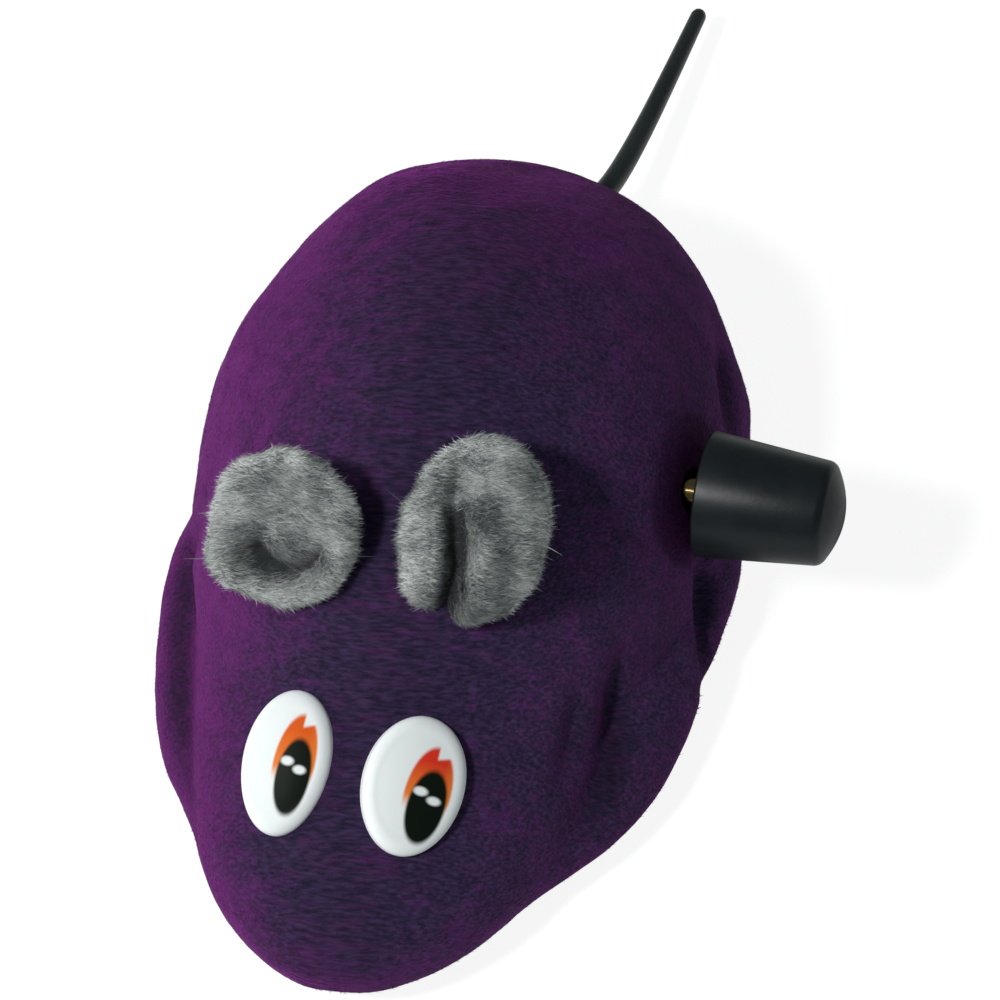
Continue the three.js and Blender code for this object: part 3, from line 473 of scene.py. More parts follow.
def velour_material(colours, is_pile):
    """Short dark purple pile, mottled, with painted light: magenta where the skin faces right and at
    grazing angles, lighter where it faces left, and painted shade in folds and round the knob's pocket.
    """
    material, tree, shader = new_material("velour_pile" if is_pile else "velour_ground")
    nap = use_group(tree, "nap", {
        "Vector": object_place(tree),
        "Turn": NAP_TURN,
        "Patch Scale": 210.0,
        "Streak Scale": 1000.0,
        "Stretch": 0.22,
    })
    # Painted light and sheen: magenta on the side that faces right, towards the side lamp, and at grazing
    # angles
    facing = put(tree, "ShaderNodeLayerWeight", {"Blend": 0.5}).outputs["Facing"]
    normal = put(tree, "ShaderNodeTexCoord").outputs["Normal"]
    to_left = put(tree, "ShaderNodeSeparateXYZ", {0: normal}).outputs["X"]
    painted_lit_flank = remap(tree, to_left, -0.1, -0.85, 0.0, 1.0, "SMOOTHSTEP")
    painted_grazing_sheen = remap(tree, facing, 0.05, 0.75, 0.0, 1.0)
    painted_lit_side = remap(tree, facing, 0.0, 0.6, 0.55, 1.0)
    painted_lit_flank = math_node(tree, "MULTIPLY", painted_lit_flank, 0.72)
    tone = math_node(tree, "MULTIPLY", painted_lit_flank, painted_lit_side)
    tone = math_node(tree, "MULTIPLY_ADD", painted_grazing_sheen, 0.3, tone)
    tone = math_node(tree, "MULTIPLY_ADD", nap["Patch"], 0.35, tone)
    tone = math_node(tree, "MULTIPLY_ADD", nap["Streak"], 0.5, tone)
    tone = math_node(tree, "SUBTRACT", tone, 0.44, clamp=True)
    blue = blend_colour(tree, nap["Fibre"], rgba(colours.navy), rgba(colours.violet))
    colour = blend_colour(tree, tone, blue, rgba(colours.magenta))
    if is_pile:
        # The fibres' tone holds painted shade in folds and round the knob's pocket
        light = remap(tree, attribute(tree, "tone"), -1.0, 1.0, 0.2, 1.3)
    else:
        light = remap(tree, nap["Fibre"], 0.0, 1.0, 0.7, 1.1)
        # Painted shade in folds and round the knob's pocket
        shade = remap(tree, attribute(tree, "shade"), 0.0, 1.0, 1.0, 0.25)
        light = math_node(tree, "MULTIPLY", light, shade)
        height = math_node(tree, "MULTIPLY_ADD", nap["Streak"], 0.6, nap["Fibre"])
        feed(tree, shader, {"Normal": bump(tree, height, 0.7, 0.00012)})
    # Painted fill light: lighter where the skin faces left
    painted_fill_light = remap(tree, to_left, 0.1, 0.8, 1.0, 1.55, "SMOOTHSTEP")
    light = math_node(tree, "MULTIPLY", light, painted_fill_light)
    feed(tree, shader, {
        "Base Color": scale_colour(tree, colour, light),
        "Roughness": 0.9,
        "Specular IOR Level": 0.1,
        "Sheen Weight": 0.18,
        "Sheen Roughness": 0.45,
        "Sheen Tint": rgba(colours.sheen),
    })
    return material


def plush_material(colours, is_pile):
    """Grey plush: hairs lighter towards their ends, a darker ground between them, and painted shade in the
    ear's hollows.
    """
    material, tree, shader = new_material("plush_pile" if is_pile else "plush_ground")
    nap = use_group(tree, "nap", {
        "Vector": object_place(tree),
        "Turn": NAP_TURN,
        "Patch Scale": 220.0,
        "Streak Scale": 1300.0,
        "Stretch": 0.2,
    })
    if is_pile:
        # Each hair's tone holds painted shade in the ear's hollows and painted light at the rim towards the
        # lamps
        strand = attribute(tree, "tone")
        tone = math_node(tree, "MULTIPLY_ADD", nap["Patch"], 0.5, -0.23)
        tone = math_node(tree, "ADD", strand, tone, clamp=True)
        light = remap(tree, strand, -0.9, 0.1, 0.2, 1.0)
    else:
        # Painted shade: the ground is darker and plainer in the ear's hollows
        hollow = attribute(tree, "hollow")
        open_share = remap(tree, hollow, 0.0, 0.7, 0.2, 0.0)
        tone = math_node(tree, "MULTIPLY", nap["Fibre"], open_share)
        light = remap(tree, hollow, 0.0, 1.0, 1.0, 0.3)
        feed(tree, shader, {"Normal": bump(tree, nap["Fibre"], 0.8, 0.0002)})
    colour = blend_colour(tree, tone, rgba(colours.plush_root), rgba(colours.plush_tip))
    feed(tree, shader, {
        "Base Color": scale_colour(tree, colour, light),
        "Roughness": 0.8,
        "Specular IOR Level": 0.25,
        "Sheen Weight": 0.25,
        "Sheen Roughness": 0.5,
    })
    return material


def moulded_material(name, colour, roughness, grain_depth, specular=0.5):
    """Moulded plastic or rubber: even colour, a fine grain and soft handling marks."""
    material, tree, shader = new_material(name)
    grain = use_group(tree, "grain", {"Vector": object_place(tree)})
    dark = rgba([c * 0.82 for c in colour])
    pale = rgba([min(1.0, c * 1.12 + 0.002) for c in colour])
    feed(tree, shader, {
        "Base Color": blend_colour(tree, grain["Mottle"], dark, pale),
        "Roughness": remap(tree, grain["Mottle"], 0.0, 1.0, roughness - 0.06, roughness + 0.06),
        "Specular IOR Level": specular,
        "Normal": bump(tree, grain["Grain"], 0.35, grain_depth),
    })
    return material


def metal_material(name, colour, roughness, along):
    """Rolled or turned metal with fine lines along one axis and dulled patches."""
    material, tree, shader = new_material(name)
    inputs = {f"Along {axis}": 60.0 if axis == along else 2200.0 for axis in "XYZ"}
    lines = use_group(tree, "brushed", {"Vector": object_place(tree), **inputs})
    dull = rgba([c * 0.72 for c in colour])
    feed(tree, shader, {
        "Base Color": blend_colour(tree, lines["Smudge"], dull, rgba(colour)),
        "Roughness": remap(tree, lines["Line"], 0.0, 1.0, roughness - 0.08, roughness + 0.1),
        "Metallic": 1.0,
        "Normal": bump(tree, lines["Line"], 0.25, 0.00002),
    })
    return material


def eye_material(name, eye, shift, top_colour):
    """White plate with a print in its UV plane: a notched iris, a tall pupil and two lights."""
    material, tree, shader = new_material(name)
    print_map = put(tree, "ShaderNodeUVMap", uv_map="print").outputs[0]
    parts = put(tree, "ShaderNodeSeparateXYZ", {0: print_map})
    u = math_node(tree, "SUBTRACT", parts.outputs["X"], 0.5 + 0.25 * shift[0])
    u = math_node(tree, "MULTIPLY", u, 4.0)
    v = math_node(tree, "SUBTRACT", parts.outputs["Y"], 0.5 + 0.25 * shift[1])
    v = math_node(tree, "MULTIPLY", v, 4.0)

    def oval(centre, half, lean, softness):
        return use_group(tree, "oval", {
            "U": u,
            "V": v,
            "Centre U": centre[0],
            "Centre V": centre[1],
            "Half Width": half[0],
            "Half Height": half[1],
            "Lean": lean,
            "Softness": softness,
        })["Mask"]

    iris = oval(eye.iris_centre, eye.iris_half, 0.05, 0.07)
    side = remap(tree, u, 0.13, 0.19, 0.0, 1.0, "SMOOTHSTEP")
    notch_floor = math_node(tree, "MULTIPLY_ADD", u, -0.23, v)
    above = remap(tree, notch_floor, 0.42, 0.48, 0.0, 1.0, "SMOOTHSTEP")
    notch = math_node(tree, "MULTIPLY", side, above)
    upper = remap(tree, v, -0.32, -0.05, 0.0, 1.0, "SMOOTHSTEP")
    iris = math_node(tree, "MULTIPLY", iris, math_node(tree, "SUBTRACT", 1.0, notch))
    iris = math_node(tree, "MULTIPLY", iris, upper)
    pupil = oval(eye.pupil_centre, eye.pupil_half, 0.06, 0.1)
    lights = [oval(centre, half, 0.0, 0.4) for centre, half in EYE_LIGHTS]
    lights = math_node(tree, "MAXIMUM", *lights)
    fade = remap(tree, v, -0.1, 0.45)
    iris_colour = blend_colour(tree, fade, rgba(eye.iris_low), rgba(top_colour))
    rim_fade = remap(tree, u, 0.35, 0.66)
    iris_colour = blend_colour(tree, rim_fade, iris_colour, rgba(eye.iris_low))
    colour = blend_colour(tree, iris, rgba(eye.white), iris_colour)
    colour = blend_colour(tree, pupil, colour, rgba(eye.black))
    lit = math_node(tree, "MULTIPLY", lights, pupil)
    grain = use_group(tree, "grain", {"Vector": object_place(tree), "Grain Scale": 900.0})
    feed(tree, shader, {
        "Base Color": blend_colour(tree, lit, colour, rgba(eye.white)),
        "Roughness": remap(tree, grain["Mottle"], 0.0, 1.0, 0.34, 0.42),
        "Specular IOR Level": 0.03,
    })
    return material


# Settings


def number_setting(label, about, default, unit="NONE"):
    return FloatProperty(name=label, description=about, default=default, unit=unit)


def length_setting(label, about, default):
    return number_setting(label, about, default, "LENGTH")


def angle_setting(label, about, degrees):
    return FloatProperty(name=label, description=about, default=math.radians(degrees), subtype="ANGLE")


def count_setting(label, about, default):
    return IntProperty(name=label, description=about, default=default)


def numbers_setting(label, about, default, subtype="NONE", unit="NONE"):
    """Two or three numbers that belong together."""
    return FloatVectorProperty(
        name=label,
        description=about,
        default=default,
        size=len(default),
        subtype=subtype,
        unit=unit,
    )


def lengths_setting(label, about, default):
    return numbers_setting(label, about, default, unit="LENGTH")


def colour_setting(label, about, default):
    return numbers_setting(label, about, default, "COLOR")


class BodySettings(bpy.types.PropertyGroup):
    trunk_size: lengths_setting(
        "Trunk", "Half width, half length and rise of the trunk", (0.0273, 0.0363, 0.0329)
    )
    head_ahead: length_setting(
        "Head ahead", "How far the head's centre stands ahead of the trunk's", 0.0262
    )
    head_size: lengths_setting(
        "Head", "Half width, half length and rise of the head", (0.0195, 0.0292, 0.0134)
    )
    paw_place: lengths_setting(
        "Paw place",
        "Centre of a fore paw beside, behind and above the trunk's centre",
        (0.0171, -0.0232, -0.0028),
    )
    paw_size: lengths_setting(
        "Paw", "Half width, half length and rise of a fore paw", (0.0096, 0.0184, 0.0075)
    )
    paw_turn: angle_setting("Paw turn", "How far a fore paw is turned from the middle line", -14)
    haunch_place: lengths_setting(
        "Haunch place",
        "Centre of a haunch beside, behind and above the trunk's centre",
        (0.0175, -0.0059, -0.0014),
    )
    haunch_size: lengths_setting(
        "Haunch", "Half width, half length and rise of a haunch", (0.0109, 0.0186, 0.0069)
    )
    haunch_turn: angle_setting("Haunch turn", "How far a haunch is turned from the middle line", 1)
    skin_thickness: length_setting("Skin thickness", "Thickness of the velour without its pile", 0.0007)
    hem_width: length_setting("Hem width", "How far the hem turns in under the shell", 0.0034)
    cut_size: lengths_setting("Cut size", "Width and length of the flat piece of velour", (0.112, 0.132))
    cut_area: number_setting("Cut area", "Area of the flat piece, an oval with darts", 0.0088, "AREA")
    skin_inset: length_setting(
        "Pile room", "How far the skin lies inside the form, so that its pile reaches the form", 0.0003
    )
    pocket_radius: length_setting(
        "Knob pocket", "Radius of the pocket that the winding knob stands in", 0.00685
    )
    pocket_slope: length_setting("Pocket slope", "Width of the slope round the pocket", 0.0022)
    pocket_gap: length_setting(
        "Gap behind the knob", "Distance from the knob's inner end to the pocket's lining", 0.00045
    )
    hole_radius: length_setting("Shaft opening", "Radius of the opening round the shaft", 0.0023)
    pile_length: length_setting("Pile length", "Length of the velour's fibres", 0.00062)
    pile_count: count_setting("Pile count", "Number of fibres that are modelled on the skin", 170000)
    navy: colour_setting("Navy", "The velour's darker, bluer tone", (0.0142, 0.0118, 0.031))
    violet: colour_setting("Violet", "The velour's middle tone", (0.036, 0.020, 0.060))
    # The magenta shows in the velour's lighter mottling, and as painted light where the skin faces right
    # and at grazing angles
    magenta: colour_setting("Magenta", "The velour's lighter, redder tone", (0.096, 0.0135, 0.107))
    sheen: colour_setting("Sheen", "Tint of the light that grazes the velour", (0.85, 0.07, 0.85))


class EarSettings(bpy.types.PropertyGroup):
    width_left: length_setting("Left width", "Width of the left ear without its hair", 0.0128)
    width_right: length_setting("Right width", "Width of the right ear without its hair", 0.0138)
    thickness: length_setting("Thickness", "Thickness of an ear's padding", 0.0024)
    height_left: length_setting("Left height", "Height of the left ear", 0.018)
    height_right: length_setting("Right height", "Height of the right ear", 0.0162)
    root_left: lengths_setting(
        "Left root",
        "Place of the left ear's root beside and behind the trunk's centre",
        (0.0093, -0.0244),
    )
    root_right: lengths_setting(
        "Right root",
        "Place of the right ear's root beside and behind the trunk's centre",
        (-0.0082, -0.0253),
    )
    lean_left: angle_setting("Left lean", "Angle of the left ear above the floor", 47)
    lean_right: angle_setting("Right lean", "Angle of the right ear above the floor", 60)
    yaw_left: angle_setting("Left yaw", "Turn of the left ear about its height", 0.0)
    yaw_right: angle_setting("Right yaw", "Turn of the right ear about its height", -4)
    turn_right: angle_setting("Right turn", "Turn of the right ear in its own plane", 3)
    sink: length_setting("Sink", "How far an ear's edge goes down into the skin", 0.0012)
    hair_length: length_setting("Hair length", "Length of the plush", 0.001)
    hair_count: count_setting("Hair count", "Number of hairs that are modelled on each ear", 100000)
    outer_count: count_setting(
        "Outer hair count", "Number of longer hairs that are modelled on each ear", 30000
    )
    plush_root: colour_setting("Ground", "Colour between the hairs", (0.034, 0.039, 0.042))
    plush_tip: colour_setting("Hair", "Colour of the hairs' ends", (0.70, 0.735, 0.715))


class EyeSettings(bpy.types.PropertyGroup):
    edge: length_setting("Edge radius", "Radius that rounds the plate's front edge", 0.0012)
    spread: length_setting("Spread", "How far the plate reaches past its flat front at both sides", 0.0006)
    yaw_left: angle_setting(
        "Left yaw", "Turn of the left plate about its height, with its outer edge towards the skin", 7
    )
    yaw_right: angle_setting(
        "Right yaw", "Turn of the right plate about its height, with its inner edge towards the skin", 13
    )
    right_share: number_setting("Right width", "Width of the right plate as a share of the left one's", 0.9)
    taller: lengths_setting(
        "Spread in height",
        "How far the left and right plates reach past their flat fronts at top and bottom",
        (0.0004, 0.0007),
    )
    aside: lengths_setting(
        "Aside", "How far the left and right plates stand towards the left", (0.0003, 0.0006)
    )
    upright: numbers_setting(
        "Upright",
        "Turn of the left and right plates in their own planes",
        (math.radians(3), math.radians(5)),
        "EULER",
    )
    crown: length_setting("Crown", "How far the front is domed", 0.0004)
    iris_centre: numbers_setting(
        "Iris centre",
        "Centre of the iris, as shares of the plate's half width and half height",
        (0.12, -0.02),
    )
    iris_half: numbers_setting(
        "Iris size", "Half width and half height of the iris, as shares", (0.46, 0.68)
    )
    pupil_centre: numbers_setting("Pupil centre", "Centre of the pupil, as shares", (0.15, -0.2))
    pupil_half: numbers_setting(
        "Pupil size", "Half width and half height of the pupil, as shares", (0.38, 0.53)
    )
    white: colour_setting("White", "Colour of the plate", (0.76, 0.79, 0.79))
    black: colour_setting("Black", "Colour of the pupil", (0.005, 0.008, 0.005))
    iris_right: colour_setting(
        "Right iris", "Colour of the upper iris of the right eye", (0.66, 0.10, 0.012)
    )
    iris_left: colour_setting("Left iris", "Colour of the upper iris of the left eye", (0.64, 0.035, 0.016))
    iris_low: colour_setting("Iris edge", "Colour that the iris fades to", (0.74, 0.2, 0.03))


class TailSettings(bpy.types.PropertyGroup):
    reach: length_setting("Reach", "Length that the tail's path is measured in", 0.0309)
    root_radius: length_setting("Root radius", "Radius inside the shell", 0.00135)
    tip_radius: length_setting("Tip radius", "Radius at the rounded end", 0.00085)
    colour: colour_setting("Rubber", "Colour of the tail", (0.012, 0.016, 0.016))


class KnobSettings(bpy.types.PropertyGroup):
    inner_radius: length_setting("Inner radius", "Radius at the end next to the skin", 0.0062)
    outer_radius: length_setting("Outer radius", "Radius at the outer end", 0.00515)
    edge: length_setting("Edge", "Radius of the outer edge", 0.0011)
    dome: length_setting("Dome", "Rise of the end face", 0.0012)
    socket_depth: length_setting("Socket depth", "Depth of the shaft's socket in the knob", 0.0083)
    shaft_play: length_setting("Socket play", "Gap between the shaft and its socket", 0.0003)
    shaft_radius: length_setting("Shaft radius", "Radius of the brass shaft", 0.0015)
    colour: colour_setting("Black plastic", "Colour of the knob", (0.007, 0.010, 0.012))


class StageSettings(bpy.types.PropertyGroup):
    azimuth: angle_setting("Azimuth", "Camera's turn round the mouse", 24.74)
    elevation: angle_setting("Elevation", "Camera's height above the horizon", 56.87)
    roll: angle_setting("Roll", "Camera's turn about its own line of sight", -11.57)
    distance: length_setting("Distance", "Camera's distance from the solved point", 0.46009)
    aim: lengths_setting(
        "Aim",
        "How far the view's centre lies right of and above the solved point",
        (0.0037556, 0.0090365),
    )
    lens: number_setting("Lens", "Focal length in millimetres on a sensor 36 mm wide", 163.374)
    key_power: number_setting(
        "Key light", "Power of the soft light above the mouse's right side", 2.2, "POWER"
    )
    side_power: number_setting("Side light", "Power of the low light on the mouse's right", 1.0, "POWER")
    sky: number_setting("Sky", "Strength of the even light from all round", 0.2)


# The body form

# A low power rounds the crease between two ellipsoids, and a high one keeps it
HEAD_BLEND = 8
LIMB_BLEND = 30
# Halvings of the distance in which the skin is looked for
SEARCH_STEPS = 40


def lobe_reach(rays, centre, size, turn):
    """Distance along rays from the form's centre to the far side of an ellipsoid, or zero."""
    c, s = math.cos(turn), math.sin(turn)
    across = (c * rays[:, 0] + s * rays[:, 1]) / size[0]
    along = (-s * rays[:, 0] + c * rays[:, 1]) / size[1]
    up = rays[:, 2] / size[2]
    start = np.array([
        -(c * centre[0] + s * centre[1]) / size[0],
        -(-s * centre[0] + c * centre[1]) / size[1],
        -centre[2] / size[2],
    ])
    lines = np.stack([across, along, up], axis=1)
    square = (lines ** 2).sum(axis=1)
    mixed = lines @ start
    inside = mixed ** 2 - square * (start @ start - 1)
    return np.where(inside > 0, (np.sqrt(np.maximum(inside, 0)) - mixed) / square, 0).clip(0)


def soft_maximum(reaches, power, unit):
    total = sum((reach / unit) ** power for reach in reaches)
    return unit * total ** (1 / power)


def skin_reach(rays, body):
    """The furthest of six ellipsoids: soft between head and trunk, sharper at the limbs."""
    unit = body.trunk_size[1]
    core = soft_maximum([
        lobe_reach(rays, (0, 0, 0), body.trunk_size, 0),
        lobe_reach(rays, (0, -body.head_ahead, 0), body.head_size, 0),
    ], HEAD_BLEND, unit)
    limbs = []
    for side in (-1, 1):
        for place, size, turn in (
            (body.paw_place, body.paw_size, body.paw_turn),
            (body.haunch_place, body.haunch_size, body.haunch_turn),
        ):
            centre = (side * place[0], place[1], place[2])
            limbs.append(lobe_reach(rays, centre, size, side * turn))
    return soft_maximum([core, *limbs], LIMB_BLEND, unit)


def last_inside(point_at, furthest, body):
    """The largest value up to the furthest whose point still lies inside the skin."""
    low = 0.0
    high = furthest
    for _ in range(SEARCH_STEPS):
        middle = (low + high) / 2
        ray = point_at(middle)
        if ray.length < skin_reach(np.array([ray.normalized()]), body)[0]:
            low = middle
        else:
            high = middle
    return low


def surface_height(x, y, body):
    """Height of the skin above a point of the floor plan, measured from the trunk's centre."""
    return last_inside(lambda z: Vector((x, y, z)), 2 * body.trunk_size[2], body)


# Pile


def triangles_in_place_order(piece):
    """Corners of a mesh's triangles, sorted by place, since Blender's own order changes each run."""
    order = np.lexsort(np.round(points_of(piece), 7).T)
    ranks = np.empty(len(order), int)
    ranks[order] = np.arange(len(order))
    triangles = []
    for face in piece.data.polygons:
        corners = ranks[list(face.vertices)]
        corners = np.roll(corners, -corners.argmin()).tolist()
        triangles += [(corners[0], a, b) for a, b in zip(corners[1:-1], corners[2:])]
    return order[np.array(sorted(triangles))]


def scatter(piece, count, generator, is_wanted):
    """Places and normals spread evenly over a mesh, where is_wanted allows."""
    corners = triangles_in_place_order(piece)
    places = points_of(piece)
    normals = read(piece.data.vertices, "normal")
    a, b, c = (places[corners[:, k]] for k in range(3))
    area = np.linalg.norm(np.cross(b - a, c - a), axis=1)
    middle = (a + b + c) / 3
    facing = normals[corners].mean(axis=1)
    area = np.where(is_wanted(middle, facing), area, 0)
    chosen = generator.choice(len(area), size=count, p=area / area.sum())
    shares = generator.random((count, 2))
    over = shares.sum(axis=1) > 1
    shares[over] = 1 - shares[over]
    weights = np.column_stack([1 - shares.sum(axis=1), shares])[:, :, None]
    root = (places[corners[chosen]] * weights).sum(axis=1)
    normal = (normals[corners[chosen]] * weights).sum(axis=1)
    return root, unit_rows(normal)


def strands(name, roots, lines, droops, widths, tones, steps, shading):
    """Tapered flat fibres, each with its own tone, which holds random variation and the painted light and
    shade that the caller gives, and with its shading normal from the surface.
    """
    count = len(roots)
    across = np.cross(lines, droops + 1e-9)
    across /= np.linalg.norm(across, axis=1)[:, None] + 1e-12
    rows = []
    shades = []
    for step in range(steps):
        share = step / steps
        middle = roots + lines * share + droops * share ** 2
        half = across * (widths * (1 - share ** 2) / 2)[:, None]
        rows += [middle - half, middle + half]
        shades += [tones * (0.35 + 0.65 * share)] * 2
    rows.append(roots + lines + droops)
    shades.append(tones)
    per = len(rows)
    places = np.stack(rows, axis=1).reshape(-1, 3)
    base = np.arange(count)[:, None] * per
    faces = []
    for step in range(steps - 1):
        k = 2 * step
        quads = base + np.array([[k, k + 2, k + 3, k + 1]])
        faces += quads.tolist()
    k = 2 * (steps - 1)
    faces += (base + np.array([[k, k + 2, k + 1]])).tolist()
    mesh = bpy.data.meshes.new(name)
    mesh.from_pydata(places.tolist(), [], faces, shade_flat=False)
    shading = np.repeat(unit_rows(shading), per, axis=0)
    mesh.normals_split_custom_set_from_vertices(shading.tolist())
    tone = mesh.attributes.new("tone", "FLOAT", "POINT")
    tone.data.foreach_set("value", np.stack(shades, axis=1).ravel().astype(np.float32))
    return add_object(name, mesh)


def tangent(directions, normals):
    """The part of each direction that lies in the surface, at unit length."""
    flat = directions - normals * (directions * normals).sum(axis=1)[:, None]
    return flat / (np.linalg.norm(flat, axis=1)[:, None] + 1e-12)


# Velour skin


def path_distance(places, path):
    """Distance from points to a path of straight pieces, and the share of the path there."""
    path = np.array(path, float)
    steps = np.linalg.norm(path[1:] - path[:-1], axis=1)
    ends = np.concatenate([[0], np.cumsum(steps)]) / steps.sum()
    best = np.full(len(places), np.inf)
    share = np.zeros(len(places))
    for a, b, low, high in zip(path[:-1], path[1:], ends[:-1], ends[1:]):
        line = b - a
        part = ((places - a) @ line / (line @ line)).clip(0, 1)
        away = np.linalg.norm(places - a - part[:, None] * line, axis=1)
        nearer = away < best
        best[nearer] = away[nearer]
        share[nearer] = (low + (high - low) * part)[nearer]
    return best, share


# Folds of the skin: a path from the trunk's centre in millimetres, its width, its depth and the
# share of the depth that is left at its start and at its end
SKIN_FOLDS = (
    (((-21.5, -13.2, 16.2), (-22.7, -14.2, 12.8), (-24.2, -14.3, 8.7), (-25.6, -14.6, 4.4),
      (-24.8, -16.6, 3.4), (-24.1, -21.1, 3.2), (-23.0, -25.6, 3.2), (-21.6, -29.9, 3.1),
      (-19.9, -34.4, 2.6), (-18.1, -38.1, 2.5), (-16.6, -42.0, 1.9)), 1.9, 1.2, 0.1, 0.6),
    (((21.7, -18.9, 10.7), (21.5, -20.7, 8.9), (21.3, -23.2, 6.3), (21.7, -26.2, 3.8),
      (22.0, -29.5, 2.7), (21.5, -31.7, 2.2), (20.6, -34.6, 1.5), (19.9, -37.0, 0.5)), 1.5, 1.5, 0.1, 0.3),
    (((19.1, -24.6, 9.9), (18.5, -28.9, 7.4), (18.4, -32.0, 6.0), (18.3, -34.2, 4.9)), 1.2, 0.8, 0.1, 0.1),
    (((26.6, -7.0, 6.9), (27.0, -7.6, 4.3), (27.5, -9.7, 2.2), (28.0, -13.0, -0.4),
      (28.0, -15.2, -2.6)), 1.3, 1.9, 0.5, 0.4),
    (((22.7, 16.8, 10.3), (23.9, 13.6, 10.1), (25.0, 10.7, 9.3), (25.8, 8.3, 7.7)), 1.8, 1.1, 0.2, 0.6),
)
# Soft swellings and hollows of the skin: a place from the trunk's centre in millimetres, then
# width and rise
SKIN_SWELLS = (
    ((-27.4, -15.2, 0.8), 5.6, 0.85),
    ((-28.0, -6.4, 1.4), 2.8, -1.0),
    ((-22.5, 2.2, 20.0), 8.0, 0.9),
    ((-10.0, 18.0, 24.0), 8.0, 1.2),
    ((3.0, 27.0, 21.5), 9.0, -1.4),
    ((24.6, 15.0, 2.0), 6.0, 0.75),
    ((26.8, -24.5, -2.5), 9.0, 0.45),
    ((18.0, 25.0, 15.0), 8.0, 0.8),
)


# The pile's painted shade, in folds and round the knob's pocket: it reaches past a fold by a share
# of the fold's width, is darkest in folds of this many millimetres and deeper, and starts between two
# depths inside the knob's inner end
FOLD_SHADE_WIDTH = 1.4
FULL_SHADE_FOLD_DEPTH = 1.6
DARKEST_FOLD_SHADE = 0.85
DARKEST_POCKET_SHADE = 0.9
POCKET_SHADE_DEPTHS = (0.0045, 0.0025)
# Slight unevenness of the glued skin: its rise, the size of its swells and its seed
UNEVENNESS = ((0.00010, 0.011, 3), (0.00006, 0.0045, 4))


def fold_fade(share, start, end):
    """Share of a fold's depth along it: full between its ends, less at the ends themselves."""
    return np.interp(share, (0.0, 0.3, 0.7, 1.0), (start, 1.0, 1.0, end))


def skin_inset(places, body):
    """How far the skin lies inside the plain form: folds, swellings and slight unevenness."""
    local = places - np.array(FORM_CENTRE)
    inset = body.skin_inset + sum(rise * waves(local, size, seed) for rise, size, seed in UNEVENNESS)
    for path, width, depth, start, end in SKIN_FOLDS:
        away, share = path_distance(local * 1000, path)
        inset += depth / 1000 * fold_fade(share, start, end) * bell(away, width)
    for place, width, rise in SKIN_SWELLS:
        away = np.linalg.norm(local * 1000 - np.array(place), axis=1)
        inset -= rise / 1000 * bell(away, width)
    return inset


def painted_skin_shade(places, body):
    """Painted shade on the pile and skin: 0 on the open skin, nearly 1 in a deep fold and round the pocket.
    """
    local = (places - np.array(FORM_CENTRE)) * 1000
    shade = np.zeros(len(places))
    for path, width, depth, start, end in SKIN_FOLDS:
        away, share = path_distance(local, path)
        dark = fold_fade(share, start, end) * bell(away, FOLD_SHADE_WIDTH * width)
        shade = np.maximum(shade, min(depth / FULL_SHADE_FOLD_DEPTH, DARKEST_FOLD_SHADE) * dark)
    away = from_arbor(places)
    ring = 1 - smooth_step(away, body.pocket_radius, body.pocket_radius + body.pocket_slope / 2)
    inner, outer = POCKET_SHADE_DEPTHS
    ring *= smooth_step(places[:, 0], KNOB_LOW.x - inner, KNOB_LOW.x - outer)
    return np.maximum(shade, DARKEST_POCKET_SHADE * ring)


def pressed_round_knob(places, floor, body):
    """Places moved in towards the middle, to the pocket's floor, with a soft slope round it."""
    over = np.where(places[:, 0] > MIDDLE_X, places[:, 0] - floor, 0).clip(0)
    rim = body.pocket_radius + body.pocket_slope
    places[:, 0] -= over * smooth_step(-from_arbor(places), -rim, -body.pocket_radius)
    return places


# Vertices this far above the cut belong to the rim, and closer ones than this are merged there
RIM_REACH = 0.0003
RIM_MERGE = 0.00002
# Faces within this radius of the winding shaft are divided once more
FINE_RADIUS = 0.0095
# The velour's fibres lie towards the mouse's left and a little back and down
PILE_LAY = (1.0, 0.2, -0.05)


